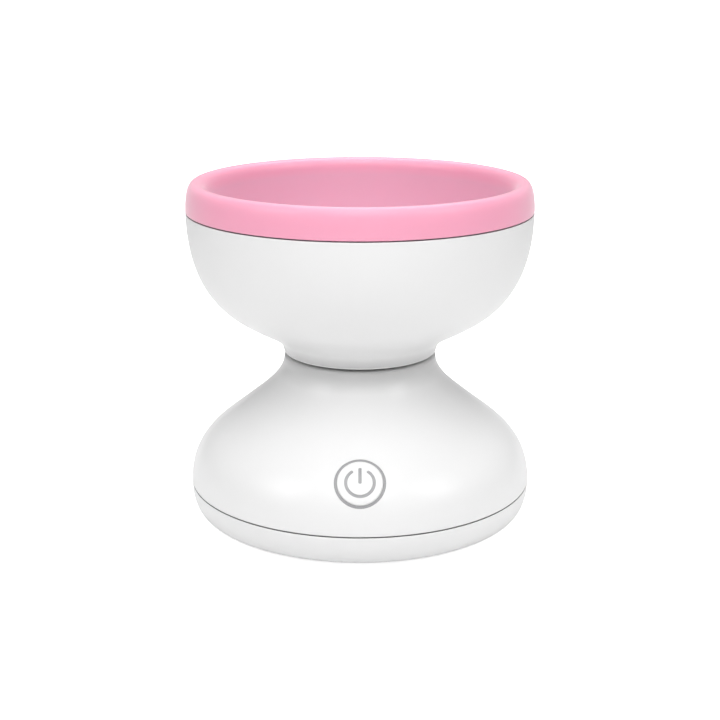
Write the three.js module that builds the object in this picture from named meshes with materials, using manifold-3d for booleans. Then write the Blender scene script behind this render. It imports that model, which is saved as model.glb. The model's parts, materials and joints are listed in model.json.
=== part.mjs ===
// Electric make-up brush washer: a silicone-lined bowl that a small geared motor spins on a round base.
// Millimetres, +Z up. The origin is on the standing surface, under the middle of the base; the button faces -Y.
import * as THREE from "three";
import { mergeVertices } from "three/addons/utils/BufferGeometryUtils.js";
import Module from "manifold-3d";

const wasm = await Module();
wasm.setup();

// ---------------------------------------------------------------- driving dimensions

const seat = 0.3; // gap that touching pieces keep
const running = 0.08; // radial clearance of a shaft that turns in its hole
const press = 0.03; // radial clearance of a pin pressed into its hole
const shellFacets = 32;
const ringFacets = 20;
const pinFacets = 10;
const screwFacets = 8;

// base casing
const footStand = 1; // the rubber feet lift the base by this much
const baseRadius = 54.25;
const baseSeamZ = 10.55; // parting line of the upper and lower casing
const baseEdgeInset = 4.55; // where the side runs out into the underside, inside the base's radius
const casingWall = 2.2;
const neckRadius = 23.9;
const neckZ = 51.4; // top of the base's neck
const neckEdge = 0.9;
const neckBend = { out: 14.07, drop: 17.16, slope: THREE.MathUtils.degToRad(39) }; // where the neck's hollow turns into the belly
const neckPull = { top: 6.9, bend: 7.8 };
const bellyPull = { bend: 9.5, side: 13.2 };
const skirtPull = { side: 9, edge: 0.6 };
const collarWall = 1.6; // splash collar that stands inside the bowl's foot
const collarHeight = 3.2;
const tongueHeight = 2.5; // locating tongue of the lower casing
const tongueWall = 1.2;

// bowl
const neckGap = 0.8; // the spinning bowl clears the base by this much
const bowlRadius = 53.65;
const rimSeamZ = 97.2; // where the silicone cuff meets the white bowl
const bowlFootRadius = 23.92;
const footBend = { out: 11.67, rise: 9.94, slope: THREE.MathUtils.degToRad(30.6) };
const footPull = { bottom: 4.6, bend: 5.4 };
const sidePull = { bend: 6.4, rim: 25.3 };
const footWall = 2.2;
const footEdge = 0.8;
const bowlFloor = 2.2;
const bowlFloorRise = 12; // floor's top above the foot's lower edge
const bowlFloorRadius = 24;
const insidePull = { rim: 23.7, floor: 16 };

// silicone liner
const linerWall = 2.3;
const cuffWall = 1.7;
const rimWall = 1.5; // the bowl's rim, which stands in the liner's groove
const rimHeight = 5.7;
const lipHeight = 9.1; // lip's crest above the cuff's lower edge
const lipCrestInset = 3.15; // lip's crest inside the bowl's outer radius
const lipPull = { cuff: 5.8, crestOut: 2.2, crestIn: 1.6, inside: 2.6 };

// gear train: bowl shaft, one compound idler and the motor's pinion
const gearModule = 0.7;
const bowlTeeth = 42;
const idlerSmallTeeth = 12;
const idlerLargeTeeth = 36;
const pinionTeeth = 12;
const pressureAngle = THREE.MathUtils.degToRad(20);
const backlash = 0.16;
const idlerBearing = Math.PI; // direction from the bowl shaft to the idler
const motorBearing = THREE.MathUtils.degToRad(-60); // direction from the idler to the motor
const shaftRadius = 2.5;
const flatDepth = 0.6;
const bushWall = 2;
const bushFlange = { out: 1.6, thick: 0.95 };
const idlerPinRadius = 1.5;
const bowlGearWidth = 4;
const idlerLargeWidth = 3;
const platePillarRadius = 23.5;
const platePillarTurns = [30, 130, 285].map(THREE.MathUtils.degToRad);
const pillarRadius = 3;
const plateThick = 2;
const plateDrop = 22.1; // plate's top below the neck's top
const deckThick = 2.1;
const deckDrop = 1.4; // bearing deck's top below the neck's top
const bossDrop = 3.7; // bearing boss below the deck

// motor
const motorRadius = 12;
const motorLength = 18;
const motorSkin = 0.8;
const motorShaftRadius = 1;
const motorScrewReach = 6.5;
const motorTab = 1.4;

// power button
const buttonZ = 25.48;
const buttonRadius = 6.7;
const buttonProud = 0.45;
const buttonRing = 0.7; // width of the grey ring around the cap
const ringFit = 0.1; // gap around the ring and behind its flange
const sleeveMargin = 0.7; // how far the button's sleeve reaches behind the wall around it
const bezelFlange = { out: 1, thick: 0.8 };
const markRadius = 4.15; // middle line of the power mark's arc
const markStroke = 0.85;
const markDepth = 0.35;
const markDrop = 0.15; // the arc's middle lies this far below the cap's
const markBar = { below: 0.33, above: 4.79 }; // ends of the bar, from the arc's middle
const markGap = THREE.MathUtils.degToRad(35);
const switchSize = { side: 6, high: 3.4 };
const switchPostRadius = 2;

// board, socket and battery
const board = { halfWidth: 13, length: 25, thick: 1.6, z: 12.3 };
const socket = { width: 8.94, high: 3.26, length: 7.35, recess: 0.9 };
const battery = { radius: 7.05, length: 50, clear: 3.9 };
const leadRadius = 0.65;
const leadLift = 1; // leads lie this far above the lower casing's floor

// fastenings and feet
const coverScrewInset = 10.75; // from the base's radius
const coverScrewTurns = [45, 135, 225, 315].map(THREE.MathUtils.degToRad);
const coverBossRadius = 3.4;
const coverBossZ = 7.2;
const rubberFootInset = 12.25; // from the base's radius
const rubberFootRadius = 5;
const footPocket = 1;

// ---------------------------------------------------------------- derived places

const baseEdgeRadius = baseRadius - baseEdgeInset;
const undersideZ = footStand;
const trayFloorZ = undersideZ + casingWall;
const deckZ = neckZ - deckDrop;
const bossZ = deckZ - deckThick - bossDrop;
const plateTopZ = neckZ - plateDrop;
const plateZ = plateTopZ - plateThick;
const bowlFootZ = neckZ + neckGap;
const bowlFloorZ = bowlFootZ + bowlFloorRise;
const rimOuterRadius = bowlRadius - cuffWall - seat;
const rimInnerRadius = rimOuterRadius - rimWall;
const rimTopZ = rimSeamZ + rimHeight;
const lipZ = rimSeamZ + lipHeight;
const lipCrestRadius = bowlRadius - lipCrestInset;
const pitch = (teeth) => (teeth * gearModule) / 2;
const idlerReach = pitch(bowlTeeth) + pitch(idlerSmallTeeth);
const motorReach = pitch(idlerLargeTeeth) + pitch(pinionTeeth);
const polar = (radius, turn, z = 0) => new THREE.Vector3(radius * Math.cos(turn), radius * Math.sin(turn), z);
const idlerAxis = polar(idlerReach, idlerBearing);
const motorAxis = polar(motorReach, motorBearing).add(idlerAxis);
const bushOuterRadius = shaftRadius + bushWall;
const bushFlangeRadius = bushOuterRadius + bushFlange.out;
const thrustZ = plateTopZ + bushFlange.thick + 0.1;
const thrustThick = 0.5;
const gearHubZ = thrustZ + thrustThick + 0.15;
const idlerLargeZ = gearHubZ + 0.4;
const idlerSmallZ = idlerLargeZ + idlerLargeWidth;
const bowlGearZ = idlerSmallZ + 0.8;
const gearHubTopZ = bowlGearZ + bowlGearWidth + 1.6;
const shaftFootZ = plateZ + seat;
const shaftTopZ = bowlFloorZ - bowlFloor - 0.5;
const clipThick = 0.6;
const clipZ = bossZ - clipThick - 0.1;
const idlerBossZ = bowlGearZ + bowlGearWidth + 1.9;
const coverScrewCircle = baseRadius - coverScrewInset;
const batteryX = board.halfWidth + battery.clear + battery.radius;
const batteryZ = trayFloorZ + seat + battery.radius;

// ---------------------------------------------------------------- solids and meshes

// A closed three.js geometry as a solid that can be cut and joined.
function solidOf(geometry) {
  const bare = geometry.clone();
  for (const name of ["normal", "uv"]) bare.deleteAttribute(name);
  const merged = mergeVertices(bare, 1e-4);
  return new wasm.Manifold(
    new wasm.Mesh({
      numProp: 3,
      vertProperties: new Float32Array(merged.attributes.position.array),
      triVerts: new Uint32Array(merged.index.array),
    }),
  );
}

// A solid as a geometry that a mesh can show.
function geometryOf(solid) {
  const mesh = solid.getMesh();
  const geometry = new THREE.BufferGeometry();
  geometry.setAttribute("position", new THREE.BufferAttribute(new Float32Array(mesh.vertProperties), 3));
  geometry.setIndex(new THREE.BufferAttribute(new Uint32Array(mesh.triVerts), 1));
  geometry.computeVertexNormals();
  return geometry;
}

// Solid of revolution about Z of a closed outline of [radius, z] points, in either direction.
function turned(outline, facets = shellFacets) {
  const points = outline.map(([radius, z]) => new THREE.Vector2(Math.max(radius, 0), z));
  if (THREE.ShapeUtils.area(points) < 0) points.reverse();
  const start = points.findIndex((p) => p.x === 0);
  const onAxis = start >= 0;
  const turn = onAxis ? points.findIndex((p, i) => p.x === 0 && points[(i + 1) % points.length].x > 0) : 0;
  const loop = [...points.slice(turn), ...points.slice(0, turn)];
  if (!onAxis) loop.push(loop[0].clone());
  return solidOf(new THREE.LatheGeometry(loop, facets).rotateX(Math.PI / 2));
}

const rod = (radius, z0, z1, facets = pinFacets) =>
  turned([[0, z0], [radius, z0], [radius, z1], [0, z1]], facets);

const ring = (inner, outer, z0, z1, facets = ringFacets) =>
  turned([[inner, z0], [outer, z0], [outer, z1], [inner, z1]], facets);

// Radius to give a faceted hole, so that its flats clear a shaft by the stated amount.
const holeFor = (radius, clearance, facets = pinFacets) => (radius + clearance) / Math.cos(Math.PI / facets);

const block = (width, depth, z0, z1) =>
  solidOf(new THREE.BoxGeometry(width, depth, z1 - z0).translate(0, 0, (z0 + z1) / 2));

const prism = (shape, z0, z1, curveSegments = 12) =>
  solidOf(new THREE.ExtrudeGeometry(shape, { depth: z1 - z0, bevelEnabled: false, curveSegments }).translate(0, 0, z0));

const at = (solid, place) => solid.translate([place.x, place.y, place.z]);

const joined = (...solids) => solids.reduce((whole, next) => whole.add(next));

const placedBy = (solid, matrix) => solid.transform([...matrix.elements]);

// A rectangle with round ends, its long side along X.
function stadium(width, height) {
  const half = (width - height) / 2;
  const shape = new THREE.Shape();
  shape.absarc(half, 0, height / 2, -Math.PI / 2, Math.PI / 2);
  shape.absarc(-half, 0, height / 2, Math.PI / 2, (3 * Math.PI) / 2);
  return shape;
}

// ---------------------------------------------------------------- materials

const finish = (color, roughness, metalness = 0) => new THREE.MeshStandardMaterial({ color, roughness, metalness });
const whiteGloss = finish(0xf2f2f1, 0.28);
const pinkSilicone = finish(0xf9a8c4, 0.5);
const greyTrim = finish(0xa9a9aa, 0.4);
const blackRubber = finish(0x26262a, 0.8);
const steel = finish(0xb9bcc0, 0.35, 1);
const bronze = finish(0xb08a4f, 0.45, 1);
const gearPlastic = finish(0xe9e4d6, 0.45);
const darkPlastic = finish(0x2b2c30, 0.5);
const magnetGrey = finish(0x4a4a4d, 0.6);
const boardGreen = finish(0x1f6b45, 0.45);
const cellWrap = finish(0x3f6fb5, 0.35);
const redWire = finish(0xb8262b, 0.5);
const blackWire = finish(0x1d1d20, 0.5);

function piece(name, solid, material, place = null, turn = 0) {
  const mesh = new THREE.Mesh(geometryOf(solid), material);
  mesh.name = name;
  if (place) mesh.position.copy(place);
  mesh.rotation.z = turn;
  return mesh;
}

const group = (...children) => new THREE.Group().add(...children);

// ---------------------------------------------------------------- outlines

const point = (radius, z) => new THREE.Vector2(radius, z);

// Samples of a curve, moved sideways by a distance: positive is to the right of the way the curve runs.
function beside(curve, distance, steps) {
  return Array.from({ length: steps + 1 }, (_, i) => {
    const spot = curve.getPoint(i / steps);
    const way = curve.getTangent(i / steps);
    return [spot.x + way.y * distance, spot.y - way.x * distance];
  });
}

// Two curves end to end, as one list of samples.
const along = (curves, distance, steps) =>
  curves.flatMap((curve, i) => beside(curve, distance, steps[i]).slice(i ? 1 : 0));

// Radius of a falling or rising list of samples at a height.
function radiusAt(samples, z) {
  const i = samples.findIndex(([, at0], k) => k && (at0 - z) * (samples[k - 1][1] - z) <= 0);
  const [[r0, z0], [r1, z1]] = [samples[i - 1], samples[i]];
  return z0 === z1 ? r0 : r0 + ((r1 - r0) * (z - z0)) / (z1 - z0);
}

// Upper casing, from the neck's top down to the seam: a hollow curve, then the belly.
const neckTurn = point(neckRadius + neckBend.out, neckZ - neckBend.drop);
const neckWay = point(Math.cos(neckBend.slope), -Math.sin(neckBend.slope));
const bellyCurves = [
  new THREE.CubicBezierCurve(
    point(neckRadius, neckZ),
    point(neckRadius, neckZ - neckPull.top),
    neckTurn.clone().addScaledVector(neckWay, -neckPull.bend),
    neckTurn,
  ),
  new THREE.CubicBezierCurve(
    neckTurn,
    neckTurn.clone().addScaledVector(neckWay, bellyPull.bend),
    point(baseRadius, baseSeamZ + bellyPull.side),
    point(baseRadius, baseSeamZ),
  ),
];
const bellySteps = [5, 5];
const belly = (inset = 0, steps = bellySteps) => along(bellyCurves, inset, steps);
const bellyFine = belly(0, [40, 60]);
const bellyInsideFine = belly(casingWall, [40, 60]);

// Lower casing, from the seam down to the underside.
const skirtCurve = new THREE.CubicBezierCurve(
  point(baseRadius, baseSeamZ),
  point(baseRadius, baseSeamZ - skirtPull.side),
  point(baseEdgeRadius + skirtPull.edge, undersideZ),
  point(baseEdgeRadius, undersideZ),
);

// Bowl, from the seam under the cuff down to the foot's lower edge.
const footTurn = point(bowlFootRadius + footBend.out, bowlFootZ + footBend.rise);
const footWay = point(Math.cos(footBend.slope), Math.sin(footBend.slope));
const bowlCurves = [
  new THREE.CubicBezierCurve(
    point(bowlRadius, rimSeamZ),
    point(bowlRadius, rimSeamZ - sidePull.rim),
    footTurn.clone().addScaledVector(footWay, sidePull.bend),
    footTurn,
  ),
  new THREE.CubicBezierCurve(
    footTurn,
    footTurn.clone().addScaledVector(footWay, -footPull.bend),
    point(bowlFootRadius, bowlFootZ + footPull.bottom),
    point(bowlFootRadius, bowlFootZ),
  ),
];

// Inside of the white bowl, from its rim down to the edge of its flat floor.
const insideCurve = new THREE.CubicBezierCurve(
  point(rimInnerRadius, rimSeamZ),
  point(rimInnerRadius, rimSeamZ - insidePull.rim),
  point(bowlFloorRadius + insidePull.floor, bowlFloorZ),
  point(bowlFloorRadius, bowlFloorZ),
);

// Everything inside the base's outer surface, grown by a distance.
const baseEnvelope = (grow = 0) =>
  turned([[0, undersideZ], [baseEdgeRadius + grow, undersideZ], ...belly(-grow).reverse(), [0, neckZ]]);

// The button's own frame: its origin on the belly, X across, Y up the belly and Z outwards.
const buttonFrame = (() => {
  const spot = bellyFine.findIndex(([, z]) => z < buttonZ);
  const [[r0, z0], [r1, z1]] = [bellyFine[spot - 1], bellyFine[spot]];
  const slope = Math.hypot(r1 - r0, z1 - z0);
  const [outward, upward] = [(z0 - z1) / slope, (r1 - r0) / slope];
  return new THREE.Matrix4()
    .makeBasis(
      new THREE.Vector3(1, 0, 0),
      new THREE.Vector3(0, upward, outward),
      new THREE.Vector3(0, -outward, upward),
    )
    .setPosition(0, -radiusAt(bellyFine, buttonZ), buttonZ);
})();
const toButton = buttonFrame.clone().invert();

// ---------------------------------------------------------------- fasteners

// Pan-head screw with a cross recess. Its head stands on z = 0 and its shank points down.
function panScrew({ shank, length, head, high }) {
  const slot = { long: head * 1.1, wide: head * 0.28, deep: high * 0.55 };
  const body = turned(
    [
      [0, -length],
      [shank * 0.5, -length],
      [shank, -length + shank],
      [shank, 0],
      [head, 0],
      [head, high * 0.55],
      [head * 0.72, high],
      [0, high],
    ],
    screwFacets,
  );
  const cross = [0, Math.PI / 2].map((turn) =>
    solidOf(new THREE.BoxGeometry(slot.long, slot.wide, 2 * slot.deep).rotateZ(turn).translate(0, 0, high)),
  );
  return body.subtract(joined(...cross));
}

const coverScrew = { shank: 1.2, length: 11, head: 2.6, high: 1.9 };
const plateScrew = { shank: 1.1, length: 8, head: 2.4, high: 1.6 };
const motorScrew = { shank: 1, length: 3.6, head: 1.9, high: 1.2 };
const hubScrew = { shank: 1, length: 3, head: 2.3, high: 1.1 };
const bowlScrew = { shank: 1.2, length: 9, head: 2.7, high: 1.3 };
const boardScrew = { shank: 1, length: 7, head: 2, high: 1.3 };
const switchScrew = { shank: 0.8, length: 5, head: 1.7, high: 1.1 };

// ---------------------------------------------------------------- base casing

const sleeveRadius = buttonRadius + 2 * running + buttonRing + ringFit;
const sleeveWall = 1.8;
const bezelFlangeRadius = sleeveRadius + bezelFlange.out;
const switchPostX = bezelFlangeRadius + seat + switchPostRadius;

// How far the casing's inner face falls behind the button's own plane, within a radius of its middle.
function wallDepth(radius) {
  const [outward, upward] = [-buttonFrame.elements[9], buttonFrame.elements[10]];
  const [r0, z0] = [radiusAt(bellyFine, buttonZ), buttonZ];
  const near = bellyInsideFine
    .map(([r, z]) => [(r - r0) * outward + (z - z0) * upward, (z - z0) * outward - (r - r0) * upward])
    .filter(([, up]) => Math.abs(up) <= radius + casingWall / 2);
  return -Math.min(...near.map(([out]) => out));
}

const sleeveDepth = wallDepth(bezelFlangeRadius) + sleeveMargin;
const bezelBackZ = sleeveDepth + ringFit + bezelFlange.thick;
const capFlangeZ = bezelBackZ + 0.1; // the cap's retaining flange bears on the bezel's back
const switchStackZ = capFlangeZ + 0.8;
const plungerZ = switchStackZ + 0.8; // the cap's stem ends here
const switchTopZ = plungerZ + 0.75;
const switchBoardZ = switchTopZ + switchSize.high + 0.05;
const switchBackZ = -switchBoardZ - board.thick - 0.1;

function upperCasing() {
  const insideTop = radiusAt(bellyInsideFine, deckZ - deckThick);
  const collarOuter = bowlFootRadius - footWall - neckGap;
  const collarInner = collarOuter - collarWall;
  const sealRim = { inner: bushFlangeRadius + 3, wall: 1.2, high: 2.2 };
  const bushHole = holeFor(bushOuterRadius, press, ringFacets);
  const inside = belly(casingWall, [3, 3]).filter(([, z]) => z < deckZ - deckThick - 0.5 && z > baseSeamZ + tongueHeight + 2);
  const shell = turned([
    [radiusAt(bellyFine, baseSeamZ + seat / 2), baseSeamZ + seat / 2],
    ...belly().slice(1, -1).reverse(),
    [neckRadius, neckZ - neckEdge],
    [neckRadius - neckEdge, neckZ],
    [collarOuter, neckZ],
    [collarOuter, neckZ + collarHeight],
    [collarInner, neckZ + collarHeight],
    [collarInner, deckZ],
    [sealRim.inner + sealRim.wall, deckZ],
    [sealRim.inner + sealRim.wall, deckZ + sealRim.high],
    [sealRim.inner, deckZ + sealRim.high],
    [sealRim.inner, deckZ],
    [bushHole, deckZ],
    [bushHole, bossZ],
    [bushHole + 3, bossZ],
    [bushHole + 3, deckZ - deckThick],
    [insideTop, deckZ - deckThick],
    ...inside,
    [baseRadius - casingWall, baseSeamZ + tongueHeight + 1],
    [baseRadius - casingWall, baseSeamZ + seat / 2],
  ]);
  const buttonSolid = (solid) => placedBy(solid, buttonFrame);
  const aboveTongue = block(3 * baseRadius, 3 * baseRadius, baseSeamZ + tongueHeight + seat, neckZ);
  const stiffeners = joined(
    ...platePillarTurns.map((turn) => at(rod(pillarRadius, plateTopZ + 0.1, deckZ - 1), polar(platePillarRadius, turn))),
    ...coverScrewTurns.map((turn) => at(rod(coverBossRadius, coverBossZ, deckZ - 1), polar(coverScrewCircle, turn))),
    at(rod(idlerPinRadius + 1.8, idlerBossZ, deckZ - 1), idlerAxis),
    buttonSolid(rod(sleeveRadius + sleeveWall, -sleeveDepth, 4, ringFacets)).intersect(aboveTongue),
    ...[-1, 1].map((side) => buttonSolid(at(rod(switchPostRadius, -switchBoardZ, 4), new THREE.Vector3(side * switchPostX, 0, 0)))),
  );
  const pilots = joined(
    ...platePillarTurns.map((turn) =>
      at(rod(holeFor(plateScrew.shank, press), plateTopZ - 1, plateTopZ + plateScrew.length), polar(platePillarRadius, turn)),
    ),
    ...coverScrewTurns.map((turn) =>
      at(rod(holeFor(coverScrew.shank, press), coverBossZ - 1, coverBossZ + coverScrew.length), polar(coverScrewCircle, turn)),
    ),
    at(rod(holeFor(idlerPinRadius, press), idlerBossZ - 1, idlerBossZ + 3.2), idlerAxis),
    buttonSolid(rod(sleeveRadius, -sleeveDepth - 1, 6, ringFacets)),
    ...[-1, 1].map((side) =>
      buttonSolid(
        at(
          rod(holeFor(switchScrew.shank, press), -switchBoardZ - 1, -switchBoardZ + switchScrew.length),
          new THREE.Vector3(side * switchPostX, 0, 0),
        ),
      ),
    ),
    socketOpening(),
  );
  return joined(shell, stiffeners.intersect(baseEnvelope(-0.3))).subtract(pilots);
}

const socketZ = board.z + board.thick + seat + socket.high / 2;
const socketFaceY = radiusAt(bellyFine, socketZ) - socket.recess;

// Slot through the back wall for the charging plug, with a shallow recess for the plug's grip around it.
function socketOpening() {
  const upright = new THREE.Matrix4().makeRotationX(-Math.PI / 2).setPosition(0, 0, socketZ);
  const slot = prism(stadium(socket.width + 2 * seat, socket.high + 2 * seat), socketFaceY - 6, baseRadius + 5);
  const recess = prism(stadium(socket.width + 4, socket.high + 4), socketFaceY + 0.1, baseRadius + 5);
  return placedBy(joined(slot, recess), upright);
}

const tongueOuter = baseRadius - casingWall - seat;

function lowerCasing() {
  const inside = beside(skirtCurve, casingWall, 4).filter(([, z]) => z > trayFloorZ + 0.4 && z < baseSeamZ - 2);
  const shell = turned([
    [0, undersideZ],
    ...beside(skirtCurve, 0, 6).slice(1).reverse(),
    [baseRadius, baseSeamZ - seat / 2],
    [tongueOuter, baseSeamZ - seat / 2],
    [tongueOuter, baseSeamZ + tongueHeight],
    [tongueOuter - tongueWall, baseSeamZ + tongueHeight],
    [tongueOuter - tongueWall, baseSeamZ - 1.5],
    ...inside,
    [baseEdgeRadius - casingWall, trayFloorZ],
    [0, trayFloorZ],
  ]);
  const postTopZ = coverBossZ - seat;
  const raised = joined(
    ...coverScrewTurns.map((turn) => at(rod(coverScrew.head + 1.9, undersideZ, postTopZ), polar(coverScrewCircle, turn))),
    ...boardPosts.map((post) => at(rod(2.6, undersideZ + 0.5, board.z - 0.1), post)),
    ...[-1, 1].map((side) =>
      at(block(2 * battery.radius + 3, 2, trayFloorZ - 1, batteryZ), new THREE.Vector3(batteryX, side * battery.length * 0.3, 0)),
    ),
  );
  const cut = joined(
    ...coverScrewTurns.map((turn) => at(rod(coverScrew.head + seat, undersideZ - 1, screwSeatZ), polar(coverScrewCircle, turn))),
    ...coverScrewTurns.map((turn) =>
      at(rod(holeFor(coverScrew.shank, seat), undersideZ, postTopZ + 1), polar(coverScrewCircle, turn)),
    ),
    ...footPlaces.map((place) => at(rod(rubberFootRadius + 0.15, undersideZ - 1, undersideZ + footPocket, ringFacets), place)),
    ...boardPosts
      .slice(0, 2)
      .map((post) => at(rod(holeFor(boardScrew.shank, press), board.z - boardScrew.length, board.z + 1), post)),
    placedBy(
      rod(battery.radius + 0.2, -battery.length / 2 - 1, battery.length / 2 + 1, ringFacets),
      new THREE.Matrix4().makeRotationX(Math.PI / 2).setPosition(batteryX, 0, batteryZ),
    ),
    placedBy(rod(bezelFlangeRadius + seat, -bezelBackZ - seat, 0, ringFacets), buttonFrame),
  );
  return joined(shell, raised).subtract(cut);
}

const screwSeatZ = undersideZ + 3.2;
const boardEdgeY = tongueOuter - tongueWall - 2.6;
const boardPosts = [0, 1].flatMap((row) =>
  [-1, 1].map((side) => new THREE.Vector3(side * (board.halfWidth - 3), boardEdgeY - board.length + 3 + row * 17.5, 0)),
);
const footPlaces = [0, 1, 2, 3].map((i) => polar(baseRadius - rubberFootInset, (i * Math.PI) / 2));

function rubberFoot() {
  return turned(
    [
      [0, 0],
      [rubberFootRadius - 0.6, 0],
      [rubberFootRadius, 0.6],
      [rubberFootRadius, undersideZ + footPocket - 0.05],
      [0, undersideZ + footPocket - 0.05],
    ],
    ringFacets,
  );
}

function casing() {
  const upside = new THREE.Matrix4().makeRotationX(Math.PI);
  const screws = coverScrewTurns.map((turn, i) =>
    piece(`cover_screw_${i + 1}`, placedBy(panScrew(coverScrew), upside), steel, polar(coverScrewCircle, turn, screwSeatZ - 0.05)),
  );
  const feet = footPlaces.map((place, i) => piece(`rubber_foot_${i + 1}`, rubberFoot(), blackRubber, place));
  return group(
    piece("base_housing", upperCasing(), whiteGloss),
    piece("bottom_cover", lowerCasing(), whiteGloss),
    ...screws,
    ...feet,
  );
}

// ---------------------------------------------------------------- bowl and liner

const hub = { flangeRadius: 15, flange: 2.3, stemRadius: 6.5, gap: 0.1, screwCircle: 10.5 };
const hubTopZ = bowlFloorZ - bowlFloor - hub.gap;
const hubTurns = [90, 210, 330].map(THREE.MathUtils.degToRad);
const hubScrewSink = hubScrew.high + 0.2;
const washer = { radius: 4.2, thick: 0.5 };

function bowlShell() {
  const undersideOfFloor = bowlFloorZ - bowlFloor;
  const footInside = beside(bowlCurves[1], footWall, 3).filter(([, z]) => z > bowlFootZ + 1 && z < undersideOfFloor - 0.4);
  const shell = turned([
    [bowlFootRadius - footWall, bowlFootZ],
    [bowlFootRadius - footEdge, bowlFootZ],
    [bowlFootRadius, bowlFootZ + footEdge],
    ...along(bowlCurves, 0, [6, 4]).slice(1, -1).reverse(),
    [bowlRadius, rimSeamZ - seat / 2],
    [rimOuterRadius, rimSeamZ - seat / 2],
    [rimOuterRadius, rimTopZ],
    [rimInnerRadius, rimTopZ],
    ...beside(insideCurve, 0, 5),
    [washer.radius + 1, bowlFloorZ],
    [washer.radius + 1, undersideOfFloor],
    [footTurn.x - 4, undersideOfFloor],
    ...footInside,
  ]);
  const wells = hubTurns.map((turn) =>
    joined(
      at(rod(hubScrew.head + seat, bowlFloorZ - hubScrewSink, bowlFloorZ + 1), polar(hub.screwCircle, turn)),
      at(rod(holeFor(hubScrew.shank, seat), undersideOfFloor - 1, bowlFloorZ), polar(hub.screwCircle, turn)),
    ),
  );
  return shell.subtract(joined(...wells));
}

// A round bore with one flat, for the driving end of the shaft.
function flattedRod(radius, z0, z1) {
  const beyond = 2 * radius;
  const keep = radius - flatDepth;
  return rod(radius, z0, z1).subtract(
    solidOf(new THREE.BoxGeometry(beyond, 2 * beyond, 2 * (z1 - z0)).translate(keep + beyond / 2, 0, (z0 + z1) / 2)),
  );
}

const shaftFlatZ = bowlFootZ + 1.2;

function driveHub() {
  const stemZ = bowlFootZ + 1.3;
  const body = turned(
    [
      [0, stemZ],
      [hub.stemRadius - 0.8, stemZ],
      [hub.stemRadius, stemZ + 0.8],
      [hub.stemRadius, hubTopZ - hub.flange - 1.5],
      [hub.stemRadius + 1.5, hubTopZ - hub.flange],
      [hub.flangeRadius, hubTopZ - hub.flange],
      [hub.flangeRadius, hubTopZ],
      [0, hubTopZ],
    ],
    ringFacets,
  );
  const bore = flattedRod(holeFor(shaftRadius, press), stemZ - 1, shaftTopZ + 0.1);
  const screwHole = rod(holeFor(bowlScrew.shank, 0.2), shaftTopZ - 1, hubTopZ + 1);
  const pilots = hubTurns.map((turn) =>
    at(rod(holeFor(hubScrew.shank, press), hubTopZ - hub.flange - 1, hubTopZ + 1), polar(hub.screwCircle, turn)),
  );
  return body.subtract(joined(bore, screwHole, ...pilots));
}

function bowlShaft() {
  const groove = shaftRadius - 0.35;
  const body = turned(
    [
      [0, shaftFootZ],
      [shaftRadius - 0.4, shaftFootZ],
      [shaftRadius, shaftFootZ + 0.4],
      [shaftRadius, clipZ - 0.05],
      [groove, clipZ - 0.05],
      [groove, clipZ + clipThick + 0.05],
      [shaftRadius, clipZ + clipThick + 0.05],
      [shaftRadius, shaftTopZ],
      [0, shaftTopZ],
    ],
    pinFacets,
  );
  const round = rod(shaftRadius + 1, shaftFlatZ, shaftTopZ + 1);
  const flat = round.subtract(flattedRod(shaftRadius + 1, shaftFlatZ - 1, shaftTopZ + 2).translate([-1, 0, 0]));
  const thread = rod(holeFor(bowlScrew.shank, press), hubTopZ - bowlScrew.length - 1, shaftTopZ + 1);
  return body.subtract(joined(flat.intersect(block(20, 20, shaftFlatZ, shaftTopZ + 1)), thread));
}

function retainingClip() {
  const mouth = THREE.MathUtils.degToRad(40);
  const shape = new THREE.Shape();
  shape.absarc(0, 0, shaftRadius + 1.9, mouth, 2 * Math.PI - mouth, false);
  shape.absarc(0, 0, shaftRadius - 0.2, 2 * Math.PI - mouth, mouth, true);
  return prism(shape, 0, clipThick);
}

function siliconeLiner() {
  const grooveTopZ = rimTopZ + seat;
  const insideRadius = rimInnerRadius - seat - linerWall;
  const cuffCurve = new THREE.CubicBezierCurve(
    point(bowlRadius, rimSeamZ + seat / 2),
    point(bowlRadius, rimSeamZ + lipPull.cuff),
    point(lipCrestRadius + lipPull.crestOut, lipZ),
    point(lipCrestRadius, lipZ),
  );
  const lipInside = new THREE.CubicBezierCurve(
    point(lipCrestRadius, lipZ),
    point(lipCrestRadius - lipPull.crestIn, lipZ),
    point(insideRadius, lipZ - 1.1),
    point(insideRadius, lipZ - 1.1 - lipPull.inside),
  );
  return turned([
    [0, bowlFloorZ + seat],
    ...beside(insideCurve, seat, 5).reverse(),
    [rimInnerRadius - seat, grooveTopZ],
    [rimOuterRadius + seat, grooveTopZ],
    [rimOuterRadius + seat, rimSeamZ + seat / 2],
    ...beside(cuffCurve, 0, 5),
    ...beside(lipInside, 0, 4).slice(1),
    ...beside(insideCurve, seat + linerWall, 6),
    [0, bowlFloorZ + seat + linerWall],
  ]);
}

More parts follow.
